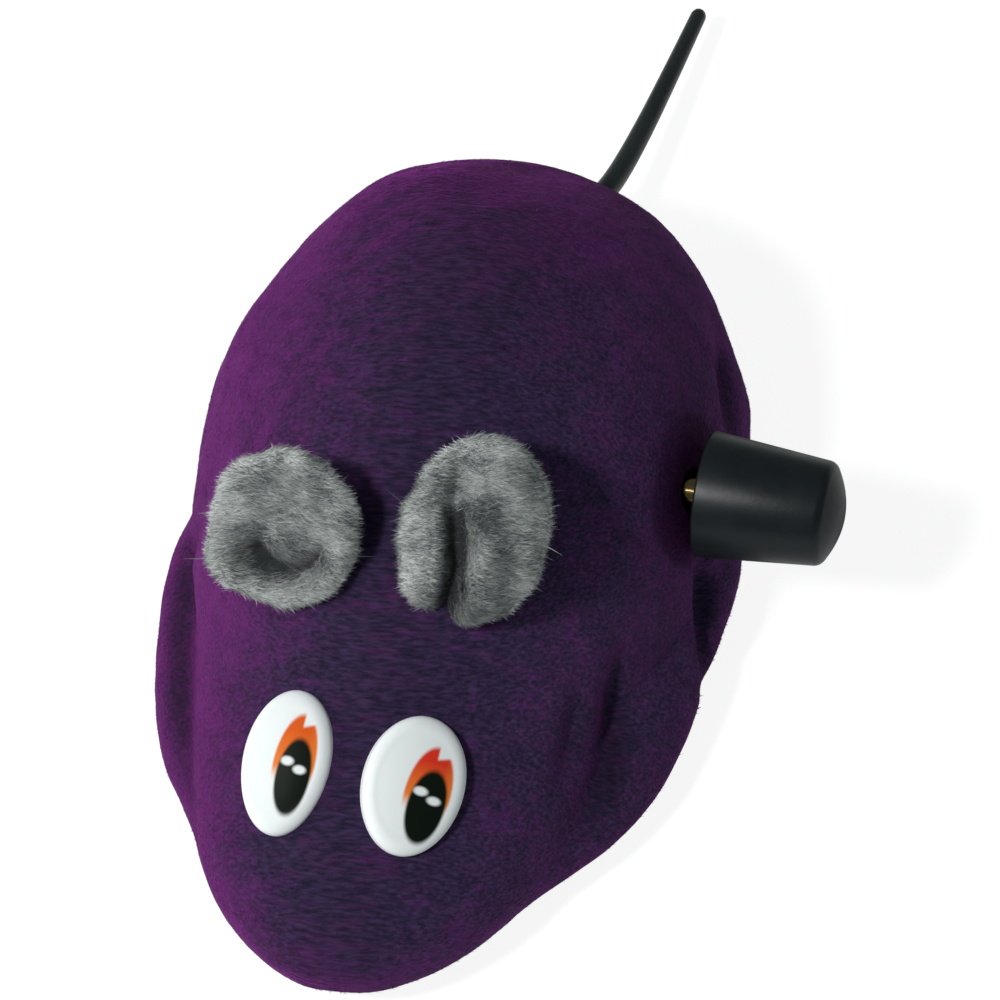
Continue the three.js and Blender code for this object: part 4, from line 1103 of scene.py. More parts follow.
class MOUSE_OT_velour_skin(bpy.types.Operator):
    """Shape the velour skin over the shell and give it its pile"""

    bl_idname = "mouse.velour_skin"
    bl_label = "Velour skin"

    def execute(self, context):
        body = context.scene.mouse_body
        clear_selection()
        bpy.ops.mesh.primitive_uv_sphere_add(segments=320, ring_count=216, radius=1)
        skin = named("velour_skin")
        rays = unit_rows(points_of(skin))
        places = np.array(FORM_CENTRE) + rays * skin_reach(rays, body)[:, None]
        inset = skin_inset(places, body)
        move_points(skin, places - rays * inset[:, None])
        edit_all(skin)
        bpy.ops.mesh.bisect(plane_co=(0, 0, RIM_Z), plane_no=(0, 0, 1), clear_inner=True)
        leave_edit()
        self.clean_rim(skin)
        self.open_knob_hole(skin, body)
        self.turn_in(skin, body)
        smooth(skin)
        # Painted shade in folds and round the knob's pocket, read by the ground's material
        add_value(skin, "shade", painted_skin_shade(points_of(skin), body))
        dress(skin, velour_material(body, False))
        place_piece(skin, "mouse", "velour", "fabric_cover")
        pile = self.pile(skin, body)
        dress(pile, velour_material(body, True))
        place_piece(pile, "mouse", "velour")
        return {"FINISHED"}

    def clean_rim(self, skin):
        """Brings vertices that lie just above the cut down to it and merges them."""
        places = points_of(skin)
        places[places[:, 2] < RIM_Z + RIM_REACH, 2] = RIM_Z
        move_points(skin, places)
        edit_all(skin)
        bpy.ops.mesh.remove_doubles(threshold=RIM_MERGE)
        bpy.ops.mesh.select_all(action="SELECT")
        bpy.ops.mesh.dissolve_degenerate(threshold=RIM_MERGE)
        leave_edit()

    def open_knob_hole(self, skin, body):
        """Presses the skin into the knob's pocket and opens it round the shaft."""
        middles, _ = face_table(skin)
        edit_faces(skin, (from_arbor(middles) < FINE_RADIUS) & (middles[:, 0] > MIDDLE_X))
        bpy.ops.mesh.subdivide(number_cuts=1)
        leave_edit()
        places = points_of(skin)
        move_points(skin, pressed_round_knob(places, KNOB_LOW.x - body.pocket_gap, body))
        middles, _ = face_table(skin)
        edit_faces(skin, (from_arbor(middles) < body.hole_radius) & (middles[:, 0] > MIDDLE_X))
        bpy.ops.mesh.delete(type="FACE")
        leave_edit()
        places = points_of(skin)
        ring = np.unique(edge_ends(skin)[open_edges(skin)])
        ring = ring[places[ring, 2] > RIM_Z + 0.001]
        axis = np.array(ARBOR)[1:]
        places[ring, 1:] = axis + body.hole_radius * unit_rows(places[ring][:, 1:] - axis)
        move_points(skin, places)

    def turn_in(self, skin, body):
        """Turns the opening's edge and the hem inwards."""
        centre = np.array(FORM_CENTRE)[:2]
        for part in ("opening", "hem", "hem edge"):
            ends = edge_ends(skin)
            is_low = points_of(skin)[ends[:, 0], 2] < RIM_Z + 1e-5
            edit_edges(skin, open_edges(skin) & (is_low == (part != "opening")))
            bpy.ops.mesh.extrude_edges_move()
            leave_edit()
            places = points_of(skin)
            moved = selected_points(skin)
            if part == "hem":
                places[moved, :2] += body.hem_width * unit_rows(centre - places[moved][:, :2])
            elif part == "opening":
                places[moved, 0] -= body.skin_thickness
            else:
                places[moved, 2] += body.skin_thickness
            move_points(skin, places)
        edit_all(skin)
        bpy.ops.mesh.normals_make_consistent(inside=False)
        leave_edit()

    def pile(self, skin, body):
        """Short fibres that lie across the body."""
        generator = np.random.default_rng(7)

        def is_wanted(middle, facing):
            from_centre = middle - np.array(FORM_CENTRE)
            is_outer = (facing * from_centre).sum(axis=1) > 0
            at_hole = (from_arbor(middle) < body.pocket_radius + 0.0004) & (middle[:, 0] > MIDDLE_X)
            at_hole &= middle[:, 0] > KNOB_LOW.x - 0.003
            return is_outer & ~at_hole & (middle[:, 2] > RIM_Z + 0.0002)

        count = body.pile_count
        roots, normals = scatter(skin, count, generator, is_wanted)
        lay = np.array([PILE_LAY]) + 0.5 * generator.normal(size=(count, 3))
        lay[:, 1] += 0.4 * waves(roots, 0.005, 11)
        lay = tangent(lay, normals)
        rise = 0.15 + 0.22 * generator.random(count) + 0.1 * waves(roots, 0.003, 12)
        lengths = body.pile_length * generator.uniform(0.55, 1.1, count)
        lines = (lay + normals * rise.clip(0.05)[:, None]) * lengths[:, None]
        droops = -normals * (lengths * 0.08)[:, None]
        widths = generator.uniform(0.00005, 0.00010, count)
        # Painted shade: fibres darker in folds and round the knob's pocket
        shade = painted_skin_shade(roots, body)
        tones = generator.random(count) ** 1.6 * (1 - shade) - shade
        shading = normals + 0.25 * generator.normal(size=(count, 3))
        return strands("velour_pile", roots - normals * 0.00005, lines, droops, widths, tones, 1, shading)


# Ears


def folded_cup(u, v):
    """The left ear: height of its middle surface in millimetres, and how deep in a hollow it is, which the
    plush shows as painted shade.
    """
    cleft = np.interp(v, (-1.0, -0.6, -0.3, 0.25, 1.0), (-0.33, -0.22, -0.26, -0.43, -0.5))
    ridge = np.interp(v, (-1.0, -0.5, 0.0, 0.5, 1.0), (0.0, 0.07, 0.14, 0.22, 0.24))
    depth = np.interp(v, (-1.0, -0.7, 0.1, 0.5, 0.9), (1.4, 2.9, 2.9, 1.6, 0.5))
    lip = smooth_step(cleft - u, 0.0, 0.24)
    wall = smooth_step(u, cleft, ridge + 0.1)
    outer = smooth_step(u, ridge, ridge + 0.8)
    height = depth * np.where(u < cleft, lip, wall) - 1.3 * outer
    height += 0.8 * smooth_step(v, 0.5, 1.0)
    strength = np.interp(v, (-1.0, -0.75, 0.0, 0.3, 0.9), (0.7, 1.0, 1.0, 0.35, 0.05))
    hollow = bell(u - cleft - 0.06, 0.17) * strength
    inner = smooth_step(u, cleft - 0.1, cleft + 0.1) * (1 - smooth_step(u, ridge - 0.05, ridge + 0.15))
    inner *= smooth_step(v, -0.9, -0.2) * (1 - smooth_step(v, 0.7, 0.95))
    return height, np.maximum(hollow, 0.16 * inner)


def shallow_cup(u, v):
    """The right ear: a bowl with a curved furrow inside its thick lower lip; it also gives how deep in the
    furrow a point is, which the plush shows as painted shade.
    """
    height = 1.6 * (u ** 2 + v ** 2)
    path = (
        (-0.5, -0.18), (-0.34, -0.4), (-0.2, -0.54), (0.03, -0.65), (0.28, -0.6), (0.4, -0.35), (0.4, -0.1),
    )
    away, share = path_distance(np.column_stack([u, v]), path)
    depth = np.interp(share, (0.0, 0.2, 0.45, 0.75, 1.0), (0.4, 1.9, 2.0, 1.1, 0.3))
    height -= depth * bell(away, 0.2)
    height += 0.7 * bell(np.hypot(u - 0.08, v + 0.2), 0.3)
    return height, 0.3 * depth * bell(away, 0.16)


EAR_FORMS = {"left": folded_cup, "right": shallow_cup}


def outline_shift(name, u, v):
    """How far an ear's outline leans over and fills out below, as a share of its half width."""
    if name == "left":
        return 0.09 * v - 0.1 * smooth_step(-v, 0.2, 0.9) * smooth_step(-u, -0.1, 0.6)
    return 0.12 * v - 0.22 * smooth_step(-v, 0.0, 0.7) * smooth_step(-u, -0.2, 0.6)


class MOUSE_OT_ears(bpy.types.Operator):
    """Make both plush ears, each with its folds and its hair"""

    bl_idname = "mouse.ears"
    bl_label = "Ears"

    def execute(self, context):
        settings = context.scene.mouse_ears
        body = context.scene.mouse_body
        ground = plush_material(settings, False)
        hair = plush_material(settings, True)
        for name, side in SIDES.items():
            height = getattr(settings, f"height_{name}")
            width = getattr(settings, f"width_{name}")
            ear = self.pad(name, width, height, settings)
            matrix = self.seat(name, side, settings, body)
            ear.matrix_world = matrix
            settle(ear)
            finish_piece(ear, None, ground, "mouse", "plush", f"ear_{name}")
            coats = [self.hair(ear, name, matrix, (width, height), settings, k) for k in (False, True)]
            for coat in coats:
                dress(coat, hair)
                place_piece(coat, "mouse", "plush")
        return {"FINISHED"}

    def pad(self, name, width, height, settings):
        """A ball pressed flat along the ear's cupped middle surface, with a thick soft rim."""
        clear_selection()
        bpy.ops.mesh.primitive_uv_sphere_add(segments=112, ring_count=80, radius=1)
        ear = named(f"ear_{name}_plush")
        ball = points_of(ear)
        u, v = ball[:, 0], ball[:, 1]
        share = np.hypot(u, v)
        half = settings.thickness / 2 * np.maximum(0, 1 - share ** 3.2) ** 0.5
        out = EAR_FORMS[name](u, v)[0] / 1000 + np.sign(ball[:, 2]) * half
        aside = (u + outline_shift(name, u, v)) * width / 2
        places = np.column_stack([aside, (v + 1) * height / 2, out])
        seed = 20 + len(name)
        places += 0.00022 * np.column_stack([waves(places, 0.004, seed + k) for k in range(3)])
        move_points(ear, places)
        # Painted shade for the ear's hollows, read by the ground's material
        add_value(ear, "hollow", EAR_FORMS[name](u, v)[1] * (ball[:, 2] > 0))
        modify(ear, "SMOOTH", factor=0.5, iterations=4)
        return ear

    def seat(self, name, side, settings, body):
        """The ear's own axes: across, up its lean, and out of its face."""
        x, y = getattr(settings, f"root_{name}")
        lean = getattr(settings, f"lean_{name}")
        yaw = getattr(settings, f"yaw_{name}")
        root = FORM_CENTRE + Vector((x, y, surface_height(x, y, body)))
        up = Vector((0, math.cos(lean), math.sin(lean)))
        across = Matrix.Rotation(yaw, 3, up) @ Vector((1, 0, 0))
        face = across.cross(up)
        if side < 0:
            spin = Matrix.Rotation(settings.turn_right, 3, face)
            across, up = spin @ across, spin @ up
        root -= up * settings.sink
        turn = Matrix((across, up, face)).transposed().to_4x4()
        return Matrix.Translation(root) @ turn

    def hair(self, ear, name, matrix, size, settings, is_outer):
        """Hairs that lie across the ear and stand out round its rim, with painted light at the rim on the
        side towards the lamps and painted shade in its hollows.
        """
        generator = np.random.default_rng(50 + len(name) + 100 * is_outer)
        count = settings.outer_count if is_outer else settings.hair_count
        roots, normals = scatter(ear, count, generator, lambda middle, facing: middle[:, 2] > 0)
        back = np.array(matrix.inverted())
        local = roots @ back[:3, :3].T + back[:3, 3]
        v = local[:, 1] / size[1] * 2 - 1
        u = local[:, 0] / size[0] * 2
        u -= outline_shift(name, u, v)
        hollow = EAR_FORMS[name](u, v)[1] * (normals @ np.array(matrix.to_3x3().col[2]) > -0.2)
        lay = np.array([[1.0, 0.15, 0.0]]) * np.sign(u + 0.55 + 0.2 * generator.normal(size=count))[:, None]
        lay = tangent(lay + 0.3 * generator.normal(size=(count, 3)), normals)
        rise = 0.2 + 0.3 * generator.random(count) + 0.12 * waves(roots, 0.003, 61)
        lengths = settings.hair_length * generator.uniform(0.4, 1.0, count) * (1 - 0.3 * hollow)
        if is_outer:
            lengths *= 1.25
            lengths[generator.random(count) > 0.997] *= 2.2
        lines = (lay + normals * rise.clip(0.1)[:, None]) * lengths[:, None]
        droops = (lay * 0.25 - normals * 0.12) * lengths[:, None]
        widths = generator.uniform(0.00004, 0.00009, count)
        # Painted light: hairs lighter at the rim on the side towards the lamps
        rim = smooth_step(np.hypot(u, v), 0.72, 1.0) * smooth_step(-u, -0.5, 0.3)
        tones = generator.uniform(0.12, 1.0, count) ** 1.2 * (1 - 0.9 * hollow) * (1 + 0.6 * rim)
        tones -= 0.9 * hollow
        shading = normals + 0.25 * lay + 0.2 * generator.normal(size=(count, 3))
        title = f"ear_{name}_outer_hair" if is_outer else f"ear_{name}_under_hair"
        return strands(title, roots, lines, droops, widths, tones, 2 if is_outer else 1, shading)


# Eyes


def plate_frame(node):
    """Frame of a flat oval CAD plate: centre of its front, long axis up, and half sizes."""
    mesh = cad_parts[node].data
    mesh.calc_loop_triangles()
    corners = read(mesh.loop_triangles, "vertices", 3, int)
    places = points_of(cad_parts[node])
    a, b, c = (places[corners[:, k]] for k in range(3))
    crosses = np.cross(b - a, c - a)
    area = np.linalg.norm(crosses, axis=1)
    normals = crosses / (area[:, None] + 1e-18)
    best = None
    for k in np.argsort(-area)[:12]:
        flat = (normals @ normals[k] > 0.9999)
        if normals[k][2] > 0 and (best is None or area[flat].sum() > area[best].sum()):
            best = flat
    normal = (normals[best] * area[best][:, None]).sum(axis=0)
    normal /= np.linalg.norm(normal)
    level = (a[best].mean(axis=0) @ normal)
    rim = places[np.abs(places @ normal - level) < 2e-5]
    centre = (rim.max(axis=0) + rim.min(axis=0)) / 2
    spread = (rim - rim.mean(axis=0)) - np.outer((rim - rim.mean(axis=0)) @ normal, normal)
    _, vectors = np.linalg.eigh(spread.T @ spread)
    up = vectors[:, 2] * np.sign(vectors[1, 2])
    across = np.cross(up, normal)
    centre = centre + normal * (level - centre @ normal)
    flat = rim - centre
    half = (np.abs(flat @ across).max(), np.abs(flat @ up).max())
    return Vector(centre), Vector(across), Vector(up), Vector(normal), half


class MOUSE_OT_eyes(bpy.types.Operator):
    """Make the oval eye plates with their rounded edges and their print"""

    bl_idname = "mouse.eyes"
    bl_label = "Eyes"

    def execute(self, context):
        eye = context.scene.mouse_eyes
        # How far each print stands off its plate's middle, in shares, and its iris's upper colour
        prints = {"left": ((0.14, -0.06), eye.iris_left), "right": ((0.14, 0.02), eye.iris_right)}
        for k, name in enumerate(SIDES):
            node = f"eye_{name}"
            centre, across, up, normal, half = plate_frame(node)
            yaw = getattr(eye, f"yaw_{name}")
            across = Matrix.Rotation(yaw, 3, up) @ across
            normal = across.cross(up)
            low = min((Vector(p) - centre).dot(normal) for p in points_of(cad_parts[node]))
            low -= eye.edge / 2
            narrow = 1.0 if name == "left" else eye.right_share
            half = ((half[0] + eye.spread) * narrow, half[1] + eye.taller[k])
            plate = self.plate(f"eye_{name}_plate", half, low, eye)
            spin = Matrix.Rotation(eye.upright[k], 3, normal)
            turn = Matrix((spin @ across, spin @ up, normal)).transposed().to_4x4()
            plate.matrix_world = Matrix.Translation(centre + across * eye.aside[k]) @ turn
            settle(plate)
            print_material = eye_material(f"eye_print_{name}", eye, *prints[name])
            finish_piece(plate, 50, print_material, "mouse", "eye_plastic", node)
        return {"FINISHED"}

    def plate(self, name, half, low, eye):
        """A turned disc with a rounded front edge and a low crown, drawn out to an oval."""
        edge = eye.edge / half[0]
        profile = [(eye.crown * (1 - s ** 2), s * (1 - edge)) for s in np.linspace(0, 1, 16)]
        profile += [
            (-eye.edge * (1 - math.cos(a)), 1 - edge * (1 - math.sin(a)))
            for a in np.radians(np.linspace(10, 90, 9))
        ]
        profile += [(low * s, 1.0) for s in (0.4, 0.7, 1.0)]
        profile += [(low, s) for s in (0.66, 0.33, 0.0)]
        plate = turned(name, profile, (0, 0, 0), "Z", 96)
        places = points_of(plate)
        wide = 1 + 0.04 * places[:, 1]
        places[:, 0] *= half[0] * wide
        places[:, 1] *= half[1]
        move_points(plate, places)
        outward(plate)
        self.add_print_map(plate, half)
        return plate

    def add_print_map(self, plate, half):
        """UVs in the plate's plane: the middle is (0.5, 0.5) and the edges are 0.25 away."""
        if "print" not in plate.data.uv_layers:
            plate.data.uv_layers.new(name="print")
        for other in [x for x in plate.data.uv_layers if x.name != "print"]:
            plate.data.uv_layers.remove(other)
        layer = plate.data.uv_layers["print"]
        places = points_of(plate)
        loops = read(plate.data.loops, "vertex_index", 1, int)
        flat = places[loops][:, :2] / (4 * np.array(half)) + 0.5
        layer.data.foreach_set("uv", flat.ravel())


# Tail

# The tail's path from its root to its tip, in shares of its reach: aside, back and up
TAIL_SIDE_SHARES = (-0.045, 0.0, 0.046, 0.08, 0.112, 0.14)
TAIL_BACK_SHARES = (-0.14, 0.0, 0.15, 0.4, 0.7, 0.987)
TAIL_DROP_SHARES = (0.06, 0.0, -0.055, -0.095, -0.125, -0.15)
# Where the tail leaves the skin, beside and above the trunk's centre
TAIL_ROOT = (0.0028, 0.0014)


class MOUSE_OT_tail(bpy.types.Operator):
    """Sweep the rubber tail along its path"""

    bl_idname = "mouse.tail"
    bl_label = "Tail"

    def execute(self, context):
        tail = context.scene.mouse_tail
        body = context.scene.mouse_body
        root = self.root(body)
        line = bpy.data.curves.new("tail_line", "CURVE")
        line.dimensions = "3D"
        line.bevel_depth = 1.0
        line.bevel_resolution = 8
        line.use_fill_caps = True
        line.resolution_u = 14
        spline = line.splines.new("NURBS")
        shares = list(zip(TAIL_SIDE_SHARES, TAIL_BACK_SHARES, TAIL_DROP_SHARES))
        path = [root + Vector(share) * tail.reach for share in shares]
        path = self.rounded(path, tail)
        spline.points.add(len(path) - 1)
        for point, (place, radius) in zip(spline.points, path):
            point.co = (*place, 1)
            point.radius = radius
        spline.use_endpoint_u = True
        spline.order_u = 3
        select_only(add_object("tail_taper", line))
        bpy.ops.object.convert(target="MESH")
        piece = named("tail_taper")
        outward(piece)
        rubber = moulded_material("tail_rubber", tail.colour, 0.42, 0.00004, 0.4)
        finish_piece(piece, 40, rubber, "mouse", "tail_rubber", "tail")
        return {"FINISHED"}

    def root(self, body):
        """The point where the tail leaves the skin."""
        x, z = TAIL_ROOT
        y = last_inside(lambda y: Vector((x, y, z)), 2 * body.trunk_size[1], body)
        return FORM_CENTRE + Vector((x, y, z))

    def rounded(self, path, tail):
        """Radii that taper along the path, and a rounded tip past its end."""
        lengths = [0.0]
        for a, b in zip(path[:-1], path[1:]):
            lengths.append(lengths[-1] + (b - a).length)
        made = []
        for place, length in zip(path, lengths):
            share = length / lengths[-1]
            made.append((place, tail.root_radius + (tail.tip_radius - tail.root_radius) * share))
        end = (path[-1] - path[-2]).normalized()
        for share in (0.0, 0.55, 0.85, 0.98):
            place = path[-1] + end * tail.tip_radius * share
            made.append((place, tail.tip_radius * math.sqrt(1 - share ** 2)))
        return made


# Winding knob and shaft


class MOUSE_OT_knob(bpy.types.Operator):
    """Make the tapered winding knob and its brass shaft"""

    bl_idname = "mouse.knob"
    bl_label = "Winding knob"

    def execute(self, context):
        knob = context.scene.mouse_knob
        self.knob(knob)
        self.shaft(knob)
        return {"FINISHED"}

    def knob(self, knob):
        """A turned and tapered knob with a socket for the shaft in its inner end."""
        length = KNOB_HIGH.x - knob.dome - KNOB_LOW.x
        socket = knob.shaft_radius + knob.shaft_play
        soft = knob.edge / 4
        profile = [(knob.socket_depth, 0.0), (knob.socket_depth, socket), (0.0, socket)]
        profile += arc(soft, knob.inner_radius - soft, soft, 180, 90, 4)
        taper = math.degrees(math.atan2(knob.inner_radius - knob.outer_radius, length))
        tilt = math.atan(2 * knob.dome / knob.outer_radius)
        edge = (length - knob.edge, knob.outer_radius - knob.edge, knob.edge)
        profile += arc(*edge, 90 - taper, math.degrees(tilt), 8)
        rim_along, rim_radius = profile[-1]
        rise = KNOB_HIGH.x - KNOB_LOW.x - rim_along
        profile += [(rim_along + rise * (1 - s ** 2), rim_radius * s) for s in np.linspace(0.9, 0, 10)]
        piece = turned("knob_moulding", profile, (KNOB_LOW.x, ARBOR.y, ARBOR.z), "X", 112)
        plastic = moulded_material("knob_plastic", knob.colour, 0.36, 0.00001, 0.22)
        finish_piece(piece, 35, plastic, "winder", "knob_plastic", "winding_knob")

    def shaft(self, knob):
        low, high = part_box("winding_shaft")
        length = high.x - low.x
        soft = 0.0002
        profile = [(0.0, 0.0), (0.0, knob.shaft_radius - soft), (soft, knob.shaft_radius)]
        profile += [(length - soft, knob.shaft_radius), (length, knob.shaft_radius - soft), (length, 0.0)]
        piece = turned("shaft_rod", profile, (low.x, ARBOR.y, ARBOR.z), "X", 48)
        brass = metal_material("shaft_brass", (0.26, 0.19, 0.08), 0.16, "X")
        finish_piece(piece, 35, brass, "winder", "brass", "winding_shaft")


# Wheels, roller and the underside


def bevelled_copy(node, name, width, body, slot, material):
    """A CAD node's own shape with its sharp edges broken, standing for the node."""
    piece = add_object(name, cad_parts[node].data.copy())
    edit_all(piece)
    bpy.ops.mesh.remove_doubles(threshold=1e-6)
    bpy.ops.mesh.tris_convert_to_quads(
        face_threshold=math.radians(1),
        shape_threshold=math.radians(180),
    )
    bpy.ops.mesh.dissolve_limited(angle_limit=math.radians(0.5))
    leave_edit()
    modify(
        piece,
        "BEVEL",
        width=width,
        segments=2,
        limit_method="ANGLE",
        angle_limit=math.radians(30),
        use_clamp_overlap=True,
    )
    finish_piece(piece, 30, material, body, slot, node)


# The tyre's outer and inner radius, and its tread: steps round it, steps from groove to groove
# and the grooves' depth
TYRE_RADIUS = 0.01
TYRE_HOLE = 0.0086
TREAD_STEPS = 120
TREAD_PITCH = 3
TREAD_DEPTH = 0.0002


def squared(shares):
    """Draws the places round a circle out towards a square with rounded corners."""
    return np.sign(shares) * np.abs(shares) ** 0.35


class MOUSE_OT_running_gear(bpy.types.Operator):
    """Turn the wheels, tyres and front roller"""

    bl_idname = "mouse.running_gear"
    bl_label = "Wheels and roller"

    def execute(self, context):
        plastic = moulded_material("wheel_plastic", (0.018, 0.018, 0.02), 0.45, 0.00004)
        rubber = moulded_material("tyre_rubber", (0.02, 0.02, 0.021), 0.8, 0.00012, 0.2)
        for name in SIDES:
            low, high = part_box(f"drive_tyre_{name}")
            middle = (low + high) / 2
            self.tyre(f"tyre_{name}_tread", middle, high.x - low.x, rubber, f"drive_tyre_{name}")
            wheel = (f"drive_wheel_{name}", f"wheel_{name}_moulding")
            bevelled_copy(*wheel, 0.00012, "drive", "base_plastic", plastic)
        bevelled_copy("front_roller", "roller_moulding", 0.0001, "roller", "base_plastic", plastic)
        return {"FINISHED"}

    def tyre(self, name, middle, width, material, node):
        """A ring whose round section is squared off, with a grooved tread."""
        centre = (TYRE_RADIUS + TYRE_HOLE) / 2
        half = (TYRE_RADIUS - TYRE_HOLE) / 2
        clear_selection()
        bpy.ops.mesh.primitive_torus_add(
            major_segments=TREAD_STEPS,
            minor_segments=24,
            major_radius=centre,
            minor_radius=half,
            location=middle,
            rotation=(0, math.pi / 2, 0),
        )
        piece = named(name)
        settle(piece)
        places = points_of(piece)
        away = places[:, 1:] - np.array([middle.y, middle.z])
        across = squared((places[:, 0] - middle.x) / half)
        rise = squared((np.hypot(away[:, 0], away[:, 1]) - centre) / half)
        turn = np.arctan2(away[:, 1], away[:, 0])
        segment = np.round(turn / (2 * math.pi / TREAD_STEPS)).astype(int)
        is_groove = (segment % TREAD_PITCH == 0) & (rise > 0.5)
        radius = centre + rise * half - np.where(is_groove, TREAD_DEPTH, 0.0)
        places[:, 0] = middle.x + across * width / 2
        places[:, 1] = middle.y + radius * np.cos(turn)
        places[:, 2] = middle.z + radius * np.sin(turn)
        move_points(piece, places)
        finish_piece(piece, 40, material, "drive", "tyre_rubber", node)


# The shell is pressed in wider and deeper than the skin over it, by these shares
SHELL_FOLD_WIDTH = 2.6
SHELL_FOLD_DEPTH = 1.3


class MOUSE_OT_underside(bpy.types.Operator):
    """Dress the base plate, its screws and the roller's pin"""

    bl_idname = "mouse.underside"
    bl_label = "Underside"

    def execute(self, context):
        plastic = moulded_material("base_plastic", (0.02, 0.02, 0.022), 0.5, 0.00008)
        shell = moulded_material("shell_plastic", (0.03, 0.03, 0.032), 0.55, 0.00008)
        steel = metal_material("screw_steel", (0.55, 0.56, 0.58), 0.32, "Z")
        bevelled_copy("base_plate", "base_moulding", 0.0002, "mouse", "base_plastic", plastic)
        self.shell(context.scene.mouse_body, shell)
        for place in ("front", "rear_left", "rear_right"):
            self.screw(f"base_screw_{place}", steel)
        for place in ("left", "right"):
            self.screw(f"motor_screw_{place}", steel)
        bevelled_copy("roller_pin", "roller_pin_rod", 0.0001, "mouse", "steel", steel)
        return {"FINISHED"}

    def shell(self, body, material):
        """The moulded shell, pressed in where the skin over it has its folds."""
        piece = add_object("shell_moulding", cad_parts["body_shell"].data.copy())
        outward(piece)
        places = points_of(piece)
        local = places - np.array(FORM_CENTRE)
        press = np.zeros(len(places))
        for fold, width, depth, start, end in SKIN_FOLDS:
            away, share = path_distance(local * 1000, fold)
            dip = depth / 1000 * fold_fade(share, start, end) * bell(away, SHELL_FOLD_WIDTH * width)
            press = np.maximum(press, SHELL_FOLD_DEPTH * dip)
        for swell, width, rise in SKIN_SWELLS:
            away = np.linalg.norm(local * 1000 - np.array(swell), axis=1)
            press += max(0.0, -rise) / 1000 * bell(away, width)
        press *= places[:, 2] > RIM_Z + 0.0005
        places = places - unit_rows(local) * press[:, None]
        floor = KNOB_LOW.x - body.pocket_gap - body.skin_thickness
        move_points(piece, pressed_round_knob(places, floor, body))
        finish_piece(piece, 30, material, "mouse", "shell_plastic", "body_shell")

    def screw(self, node, steel):
        """A countersunk screw with a cross recess sunk into its head."""
        low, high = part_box(node)
        middle = (low + high) / 2
        centre = np.array(middle)[:2]
        head = (high.x - low.x) / 2
        shank = head / 2
        clear_selection()
        bpy.ops.mesh.primitive_cylinder_add(
            vertices=32,
            radius=head,
            depth=high.z - low.z,
            location=middle,
        )
        piece = named(f"{node}_steel")
        settle(piece)
        _, normals = face_table(piece)
        edit_faces(piece, normals[:, 2] > 0.9)
        bpy.ops.mesh.delete(type="FACE")
        leave_edit()
        edit_edges(piece, open_edges(piece))
        bpy.ops.mesh.edge_face_add()
        leave_edit()
        places = points_of(piece)
        top = places[:, 2] > middle.z
        places[top, 2] = low.z + 0.0002
        move_points(piece, places)
        _, normals = face_table(piece)
        edit_faces(piece, normals[:, 2] > 0.9)
        levels = [(0.001, shank), (high.z - low.z - 0.0009, shank), (high.z - low.z, 0.00015)]
        for level, radius in levels:
            bpy.ops.mesh.extrude_region_move()
            leave_edit()
            places = points_of(piece)
            chosen = selected_points(piece)
            places[chosen, :2] = centre + radius * unit_rows(places[chosen][:, :2] - centre)
            places[chosen, 2] = low.z + level
            move_points(piece, places)
            bpy.ops.object.mode_set(mode="EDIT")
        leave_edit()
        for turn in (0, math.pi / 2):
            clear_selection()
            place = (middle.x, middle.y, low.z)
            bpy.ops.mesh.primitive_cube_add(size=1, location=place, rotation=(0, 0, turn))
            cutter = bpy.context.object
            cutter.scale = (head * 1.1, head * 0.28, 0.001)
            settle(cutter)
            modify(piece, "BOOLEAN", operation="DIFFERENCE", object=cutter, solver="EXACT")
            bpy.data.objects.remove(cutter)
        outward(piece)
        finish_piece(piece, 35, steel, "mouse", "steel", node)


class MOUSE_OT_motor(bpy.types.Operator):
    """Give the hidden spring motor its metals and plastics"""

    bl_idname = "mouse.motor"
    bl_label = "Spring motor"

    def execute(self, context):
        steel = metal_material("frame_steel", (0.5, 0.51, 0.53), 0.35, "Z")
        brass = metal_material("gear_brass", (0.66, 0.48, 0.18), 0.36, "Z")
        spring = metal_material("spring_steel", (0.10, 0.13, 0.19), 0.28, "X")
        gear = moulded_material("gear_plastic", (0.78, 0.76, 0.68), 0.45, 0.00004)
        finishes = {
            steel: (
                "motor_plate_left", "motor_plate_right", "frame_pillar_front", "frame_pillar_top",
                "frame_pillar_rear", "frame_pillar_lower", "ratchet_wheel", "click", "idler_arbor",
                "drive_axle",
            ),
            brass: ("great_wheel",),
            spring: ("mainspring",),
            gear: ("idler_gear", "axle_pinion"),
        }
        for material, nodes in finishes.items():
            for node in nodes:
                dress(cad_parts[node], material)
        return {"FINISHED"}


# Stage


